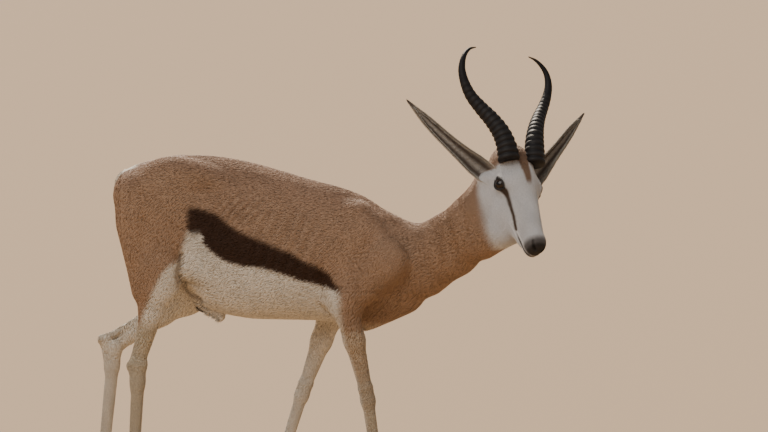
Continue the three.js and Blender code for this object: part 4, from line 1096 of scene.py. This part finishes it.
def ear_coat(name, number, seed):
    """Short hair on an ear's back, and longer pale hair from its front edges and hollow."""
    draw = np.random.default_rng(seed)
    sets = []
    for kind, count in (("back", 5200), ("cup", 2600), ("edge", 1500)):
        t = draw.uniform(0.05 if kind == "back" else 0.12, 0.985, count)
        if kind == "edge":
            a = np.where(draw.uniform(size=count) < 0.5, -1, 1) * draw.uniform(1.45, 1.75, count)
            t = draw.uniform(0.10, 0.88, count)
        else:
            a = draw.uniform(-EAR_ARC, EAR_ARC, count)
        wall = 0.0 if kind == "back" else EAR_WALL
        p = ear_point(name, t, a, wall)
        ahead = ear_point(name, t + 0.01, a, wall)
        beside = ear_point(name, t, a + 0.02, wall)
        way = unit(ahead - p)
        normal = unit(np.cross(beside - p, way))
        middle = ear_point(name, t, np.zeros(count), 0.0)
        facing = unit(in_head(EARS[name][2]))
        outside = np.einsum("ij,ij->i", normal, p - middle - facing * 12) > 0
        normal = np.where(outside[:, None], normal, -normal)
        if kind != "back":
            normal = -normal
        colour = ear_colours(t, a, np.full(count, kind != "back"))
        if kind == "edge":
            colour = colour * 0.35 + vec(0.62, 0.57, 0.49) * 0.65
            inward = unit(middle + facing * 4 - p)
            way = unit(way * 0.8 + inward * 0.55)
            length, half, lift = np.full(count, 15.0), np.full(count, 0.55), np.full(count, 0.18)
        elif kind == "cup":
            length, half, lift = np.full(count, 10.0), np.full(count, 0.5), np.full(count, 0.10)
        else:
            length, half, lift = np.full(count, 6.0), np.full(count, 0.75), np.full(count, 0.05)
        length = length * (1 - 0.5 * ramp(t, 0.8, 1))
        uv = unwrap(p, np.full(count, number))
        sets.append(tufts(p, normal, way, length, half, lift, colour, uv, seed + 1))
    return sets


def tail_coat():
    """Short white hair down the tail, and long black locks round its last stretch."""
    draw = np.random.default_rng(41)
    sets = []
    for kind, count in (("short", 2600), ("tuft", 700)):
        share = draw.uniform(0.02, 1, count) if kind == "short" else draw.uniform(0.66, 1, count)
        order = np.argsort(share)
        at, along = smooth_line(TAIL, share[order])
        share = share[order]
        angle = draw.uniform(0, 2 * np.pi, count)
        back = unit(np.cross(np.tile(vec(0, 1, 0), (count, 1)), along))
        normal = np.cos(angle)[:, None] * vec(0, 1, 0) + np.sin(angle)[:, None] * back
        p = at + normal * mix(*TAIL_RADIUS, share)[:, None] * 0.95
        colour = mix(WHITE, DARK * 0.8, ramp(share, 0.62, 0.78)[:, None])
        long = kind == "tuft"
        length = np.full(count, 46.0) if long else np.full(count, 9.0)
        half = np.full(count, 1.3 if long else 0.8)
        lift = np.full(count, 0.05)
        uv = unwrap(p, np.full(count, 8))
        sets.append(tufts(p, normal, along, length, half, lift, colour, uv, 43))
    return sets


# Eyes, horns and hooves

def eyeball(side):
    """A sphere with its pole on the gaze, the cornea swelling at the pole; colours give a slot pupil."""
    centre, axis, along, up = eye_frame(side)
    rows, columns = 48, 64
    polar = np.linspace(0.03, np.pi - 0.03, rows)
    angle = np.linspace(0, 2 * np.pi, columns, endpoint=False)
    radius = EYE["radius"] - 0.15 + 0.55 * np.exp(-(polar / 0.55) ** 2)
    flat = np.cos(angle)[:, None] * along + np.sin(angle)[:, None] * up
    rings = (centre + (radius * np.cos(polar))[:, None, None] * axis
             + (radius * np.sin(polar))[:, None, None] * flat)
    vertices, quads, triangles = tube(rings)
    q = (vertices - centre) / EYE["radius"]
    a, b = q @ along, q @ up
    colour = np.tile(vec(0.012, 0.008, 0.006), (len(vertices), 1))
    iris = 1 - ramp(np.hypot(a, b), 0.70, 0.80)
    colour = colour + (vec(0.020, 0.011, 0.006) - colour) * iris[:, None]
    pupil = (1 - ramp(np.hypot(a / 0.46, b / 0.2), 0.85, 1.1)) * (q @ axis > 0)
    colour = colour + (vec(0.002, 0.002, 0.003) - colour) * pupil[:, None]
    return vertices, quads, triangles, colour


def horn(side):
    """A lyre swept along its line, with a raised ring at each step of its lower two thirds."""
    rows, sides = 300, 32
    centres = [head(-up, side * spread, lean) for up, spread, lean, _ in HORN]
    line = np.array([np.append(c, row[3]) for c, row in zip(centres, HORN)])
    share = np.linspace(0, 1, rows)
    at, along = smooth_line(line, share)
    places, radius = at[:, :3], at[:, 3]
    across = unit(SIDE - (along @ SIDE)[:, None] * along)
    out = unit(np.cross(along, across))
    phase = share / RIDGED_PART * HORN_RIDGES
    ring = np.where(phase < HORN_RIDGES, np.sin(np.pi * (phase % 1.0) ** 0.8) ** 1.6, 0)
    height = mix(0.12, 0.05, np.clip(share / RIDGED_PART, 0, 1)) * (1 - ramp(share, 0.6, 0.68))
    angle = np.linspace(0, 2 * np.pi, sides, endpoint=False)
    draw = np.random.default_rng(19 + side)
    wobble = 1 + 0.012 * np.sin(angle * 3 + draw.uniform(0, 6)) + 0.25 * height[:, None] * np.cos(angle - 1.6)
    r = (radius[:, None] * 0.97 * (1 + (ring * height)[:, None] * wobble)
         * (1 + 0.006 * np.sin(share * 260)[:, None]))
    rings = (places[:, None] + (np.cos(angle) * r)[..., None] * across[:, None]
             + (np.sin(angle) * r * 1.05)[..., None] * out[:, None])
    vertices, quads, triangles = tube(rings)
    tone = mix(vec(0.009, 0.008, 0.009), vec(0.022, 0.019, 0.018), (ring * 0.8)[:, None])
    tone = tone + (vec(0.10, 0.075, 0.055) - tone) * ramp(share, 0.93, 1.0)[:, None]
    colour = np.repeat(tone, sides, axis=0) * (1 + 0.15 * mottle(vertices[:-2], 5, 31))[:, None]
    return vertices, quads, triangles, capped(colour)


def claw(name, side):
    """One half of a hoof: outlines that narrow to the toe, stacked from the sole up to the coronet."""
    spin, tip, _, _ = hoof_place(name)
    sides, rows = 40, 16
    a = np.linspace(0, 2 * np.pi, sides, endpoint=False)
    fore = (np.cos(a) + 1) / 2
    levels = np.linspace(0, 1, rows)
    rings = []
    for level in levels:
        narrow = 1 - 0.42 * fore ** 2.2 * (1 - level * 0.7)
        x = mix(mix(-HOOF["length"], -HOOF["length"] + HOOF["back"], level), -HOOF["slope"] * level, fore)
        wide = mix(HOOF["width"], HOOF["width"] - 2, level)
        y = HOOF["cleft"] + wide * (np.sin(a) * 0.5 * narrow + 0.5 * narrow + (1 - narrow) * 0.12)
        z = mix(HOOF["heel"], HOOF["front"], fore) * level
        ring = np.stack([x, side * y, z], 1)
        middle = ring.mean(0)
        shrink = 1 - 0.10 * max(0, 1 - level / 0.06) - 0.16 * max(0, (level - 0.9) / 0.1) ** 2
        ring[:, :2] = middle[:2] + (ring[:, :2] - middle[:2]) * (shrink + 0.010 * math.sin(level * 30))
        rings.append(ring)
    placed = np.array(rings) @ spin.T + tip
    placed[..., 2] = np.maximum(placed[..., 2], 0)
    vertices, quads, triangles = tube(placed)
    tone = mix(vec(0.035, 0.030, 0.026), vec(0.012, 0.010, 0.010),
               ramp(np.repeat(levels, sides), 0, 0.5)[:, None])
    return vertices, quads, triangles, capped(tone)


def dewclaw(name, side):
    """A small blunt horn behind the fetlock."""
    knuckle, toe = LEGS[name][3], LEGS[name][4]
    down = mix(knuckle, toe, 0.34) - knuckle
    behind = vec(-np.linalg.norm(down) * 0.42 - 3, side * 8.5, 0)
    root, tip = knuckle + behind * 0.35, knuckle + behind + down * 0.75
    share = np.linspace(0, 1, 14)
    radius = np.interp(share, [0, 0.5, 0.85, 1], [7, 6, 4.4, 1.2])
    along = unit(tip - root)
    across = unit(vec(0, 1, 0) - along[1] * along)
    out = np.cross(along, across)
    a = np.linspace(0, 2 * np.pi, 18, endpoint=False)
    rings = ((root + share[:, None] * (tip - root))[:, None]
             + (np.cos(a)[None] * radius[:, None])[..., None] * across
             + (np.sin(a)[None] * radius[:, None] * 0.8)[..., None] * out)
    vertices, quads, triangles = tube(rings)
    return vertices, quads, triangles, np.tile(vec(0.02, 0.017, 0.015), (len(vertices), 1))


# Materials

def material(name, roughness, specular):
    """A surface that takes its colour from the mesh's own colour attribute."""
    made = bpy.data.materials.new(name)
    made.use_nodes = True
    nodes, links = made.node_tree.nodes, made.node_tree.links
    shader = nodes["Principled BSDF"]
    shader.inputs["Roughness"].default_value = roughness
    shader.inputs["Specular IOR Level"].default_value = specular
    colour = nodes.new("ShaderNodeVertexColor")
    colour.layer_name = "coat"
    links.new(colour.outputs["Color"], shader.inputs["Base Color"])
    return made, nodes, links, shader


def add_bump(nodes, links, shader, scale, strength, distance, stretch=(1, 1, 1), uv=False):
    """Fine noise, stretched along the hair, pressed into the shading."""
    place = nodes.new("ShaderNodeUVMap") if uv else nodes.new("ShaderNodeTexCoord")
    mapping = nodes.new("ShaderNodeMapping")
    mapping.inputs["Scale"].default_value = stretch
    noise = nodes.new("ShaderNodeTexNoise")
    noise.inputs["Scale"].default_value = scale
    noise.inputs["Detail"].default_value = 3
    bump = nodes.new("ShaderNodeBump")
    bump.inputs["Strength"].default_value = strength
    bump.inputs["Distance"].default_value = distance
    if uv:
        place.uv_map = "OFBake"
    links.new(place.outputs["UV" if uv else "Object"], mapping.inputs["Vector"])
    links.new(mapping.outputs["Vector"], noise.inputs["Vector"])
    links.new(noise.outputs["Fac"], bump.inputs["Height"])
    links.new(bump.outputs["Normal"], shader.inputs["Normal"])


# Settings, operators and panel

class SpringbokSizes(bpy.types.PropertyGroup):
    """Sizes of the skin, the coat and the camera"""
    skin_cell: bpy.props.FloatProperty(
        name="Skin cell", description="Mesh step on the body", default=0.006,
        subtype="DISTANCE", unit="LENGTH")
    coat_depth: bpy.props.FloatProperty(
        name="Coat depth", description="Skin below the coat on the body", default=0.0035,
        subtype="DISTANCE", unit="LENGTH")
    face_depth: bpy.props.FloatProperty(
        name="Face depth", description="Skin below the coat on face and feet", default=0.0012,
        subtype="DISTANCE", unit="LENGTH")
    hair_scale: bpy.props.FloatProperty(
        name="Hair length", description="Share of the usual length of the tufts", default=1.0,
        subtype="FACTOR")
    tuft_count: bpy.props.IntProperty(
        name="Tufts", description="Tufts over trunk, legs and head", default=225000, subtype="UNSIGNED")
    lens: bpy.props.FloatProperty(
        name="Lens", description="Focal length of the camera in millimetres", default=545.1, subtype="NONE")


class SpringbokColours(bpy.types.PropertyGroup):
    """Colours of the stage"""
    floor: bpy.props.FloatVectorProperty(
        name="Floor", description="Colour of the floor", default=(0.36, 0.25, 0.15), size=3, subtype="COLOR")
    sky: bpy.props.FloatVectorProperty(
        name="Sky", description="Colour of the surrounding light", default=(0.80, 0.78, 0.76), size=3,
        subtype="COLOR")
    sun: bpy.props.FloatVectorProperty(
        name="Sun", description="Colour of the sun", default=(1.0, 0.88, 0.74), size=3, subtype="COLOR")


FLESH_NODES = (["torso", "neck", "head", "tail", "ear_right", "ear_left"]
               + [f"{leg}_{part}" for leg in LEGS for part in ("upper", "lower")])


class SPRINGBOK_OT_skin(bpy.types.Operator):
    """Makes the skin, one surface for all the flesh"""
    bl_idname = "springbok.skin"
    bl_label = "Add skin"

    def execute(self, context):
        build_forms()
        piece = make_skin()
        made, nodes, links, shader = material("skin", 0.75, 0.25)
        add_bump(nodes, links, shader, 900, 0.5, 0.0012, (1.6, 0.35, 1), uv=True)
        piece.data.materials.append(made)
        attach(piece, "root")
        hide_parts(*FLESH_NODES)
        return {"FINISHED"}


class SPRINGBOK_OT_coat(bpy.types.Operator):
    """Lays the coat over the skin, as closed tufts in several pieces"""
    bl_idname = "springbok.coat"
    bl_label = "Add coat"

    def execute(self, context):
        made, nodes, links, shader = material("coat", 0.62, 0.22)
        place, up, way, length, half, lift, colour, uv = skin_coat()
        chart = chart_of(place)
        groups = {"coat_body": (chart == 0, "coat_tan"),
                  "coat_legs": ((chart > 0) & (chart < 5), "coat_pale"),
                  "coat_head": (chart == 5, "coat_face")}
        for name, (here, slot) in groups.items():
            index = np.nonzero(here)[0]
            for part, some in enumerate(np.array_split(index, max(1, math.ceil(len(index) / PIECE_TUFTS)))):
                made_set = tufts(place[some], up[some], way[some], length[some], half[some], lift[some],
                                 colour[some], uv[some], 50 + part, flesh)
                self.add(f"{name}_{part + 1}", made_set, made, slot)
        ears = [ear_coat("right", 6, 21), ear_coat("left", 7, 31)]
        self.add("coat_ears", join(ears[0] + ears[1], (1,)), made, "coat_ear")
        self.add("coat_tail", join(tail_coat(), (1,)), made, "coat_pale")
        return {"FINISHED"}

    def add(self, name, made_set, finish, slot):
        """One piece of coat from a set of tufts, on the one body. The slot is not used."""
        vertices, triangles, colours, places = made_set
        piece = make_mesh(name, vertices, np.zeros((0, 4), int), triangles, colours, places)
        piece.data.materials.append(finish)
        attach(piece, "root")


class SPRINGBOK_OT_eyes(bpy.types.Operator):
    """Makes both eyes"""
    bl_idname = "springbok.eyes"
    bl_label = "Add eyes"

    def execute(self, context):
        made, *_ = material("eye", 0.10, 0.4)
        for name, side in (("eye_right", -1), ("eye_left", 1)):
            piece = make_mesh(f"{name}_ball", *eyeball(side))
            piece.data.materials.append(made)
            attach(piece, "root")
            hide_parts(name)
        return {"FINISHED"}


class SPRINGBOK_OT_horns(bpy.types.Operator):
    """Makes both horns, with their rings"""
    bl_idname = "springbok.horns"
    bl_label = "Add horns"

    def execute(self, context):
        made, nodes, links, shader = material("horn", 0.58, 0.22)
        add_bump(nodes, links, shader, 260, 0.35, 0.0006, (1, 1, 0.4))
        for name, side in (("horn_right", -1), ("horn_left", 1)):
            piece = make_mesh(f"{name}_ringed", *horn(side))
            piece.data.materials.append(made)
            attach(piece, "root")
            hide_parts(name)
        return {"FINISHED"}


class SPRINGBOK_OT_hooves(bpy.types.Operator):
    """Makes the claws of the four hooves and the dewclaws above them"""
    bl_idname = "springbok.hooves"
    bl_label = "Add hooves"

    def execute(self, context):
        made, nodes, links, shader = material("hoof", 0.38, 0.5)
        add_bump(nodes, links, shader, 300, 0.3, 0.0005, (1, 1, 0.3))
        for name in LEGS:
            parts = [claw(name, 1), claw(name, -1), dewclaw(name, 1), dewclaw(name, -1)]
            vertices, quads, triangles, colours = join(parts)
            piece = make_mesh(f"{name}_hoof", vertices, quads, triangles, colours)
            piece.data.materials.append(made)
            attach(piece, "root")
            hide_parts(f"{name}_claw_outer", f"{name}_claw_inner")
        return {"FINISHED"}


class SPRINGBOK_OT_stage(bpy.types.Operator):
    """Makes the floor, the lights and the camera"""
    bl_idname = "springbok.stage"
    bl_label = "Add stage"

    def execute(self, context):
        sizes, colours = context.scene.springbok_sizes, context.scene.springbok_colours
        far = FLOOR_REACH
        mesh = bpy.data.meshes.new("floor")
        mesh.from_pydata([(-far, -far, 0), (far, -far, 0), (far, far, 0), (-far, far, 0)], [], [(0, 1, 2, 3)])
        floor = bpy.data.objects.new("floor", mesh)
        context.scene.collection.objects.link(floor)
        made = bpy.data.materials.new("floor")
        made.use_nodes = True
        shader = made.node_tree.nodes["Principled BSDF"]
        shader.inputs["Base Color"].default_value = (*colours.floor, 1)
        shader.inputs["Roughness"].default_value = 0.95
        mesh.materials.append(made)
        world = bpy.data.worlds.new("sky")
        world.use_nodes = True
        world.node_tree.nodes["Background"].inputs["Color"].default_value = (*colours.sky, 1)
        world.node_tree.nodes["Background"].inputs["Strength"].default_value = SKY_STRENGTH
        context.scene.world = world
        for name, power, spread, turn in LIGHTS:
            light = bpy.data.lights.new(name, "SUN")
            light.energy = power
            light.angle = math.radians(spread)
            light.color = colours.sun if name == "sun" else FILL_COLOUR
            lamp = bpy.data.objects.new(name, light)
            lamp.rotation_euler = [math.radians(v) for v in turn]
            context.scene.collection.objects.link(lamp)
        camera = bpy.data.cameras.new("camera")
        camera.lens = sizes.lens
        camera.sensor_width = 36
        camera.clip_end = 500
        eye = bpy.data.objects.new("camera", camera)
        azimuth, rise = math.radians(CAMERA_AZIMUTH), math.radians(CAMERA_RISE)
        away = Vector((math.sin(azimuth) * math.cos(rise),
                       -math.cos(azimuth) * math.cos(rise), math.sin(rise)))
        eye.location = Vector(CAMERA_AIM) + away * CAMERA_DISTANCE
        eye.rotation_euler = away.to_track_quat("Z", "Y").to_euler()
        context.scene.collection.objects.link(eye)
        context.scene.camera = eye
        return {"FINISHED"}


class SPRINGBOK_PT_panel(bpy.types.Panel):
    """The springbok's pieces, in the sidebar of the 3D view"""
    bl_idname = "SPRINGBOK_PT_panel"
    bl_label = "Springbok"
    bl_space_type = "VIEW_3D"
    bl_region_type = "UI"
    bl_category = "Springbok"

    def draw(self, context):
        for settings in (context.scene.springbok_sizes, context.scene.springbok_colours):
            for key in settings.__annotations__:
                self.layout.prop(settings, key)
        for kind in STEPS:
            self.layout.operator(kind.bl_idname)


STEPS = (SPRINGBOK_OT_skin, SPRINGBOK_OT_coat, SPRINGBOK_OT_eyes, SPRINGBOK_OT_horns, SPRINGBOK_OT_hooves,
         SPRINGBOK_OT_stage)
CLASSES = (SpringbokSizes, SpringbokColours) + STEPS + (SPRINGBOK_PT_panel,)


def register():
    """Registers the classes and hangs the settings on the scene."""
    for kind in CLASSES:
        bpy.utils.register_class(kind)
    bpy.types.Scene.springbok_sizes = bpy.props.PointerProperty(type=SpringbokSizes)
    bpy.types.Scene.springbok_colours = bpy.props.PointerProperty(type=SpringbokColours)


def unregister():
    """Takes the settings and the classes away again."""
    del bpy.types.Scene.springbok_colours
    del bpy.types.Scene.springbok_sizes
    for kind in reversed(CLASSES):
        bpy.utils.unregister_class(kind)


def main():
    register()
    bpy.ops.springbok.skin()
    bpy.ops.springbok.coat()
    bpy.ops.springbok.eyes()
    bpy.ops.springbok.horns()
    bpy.ops.springbok.hooves()
    bpy.ops.springbok.stage()


if __name__ == "__main__":
    main()
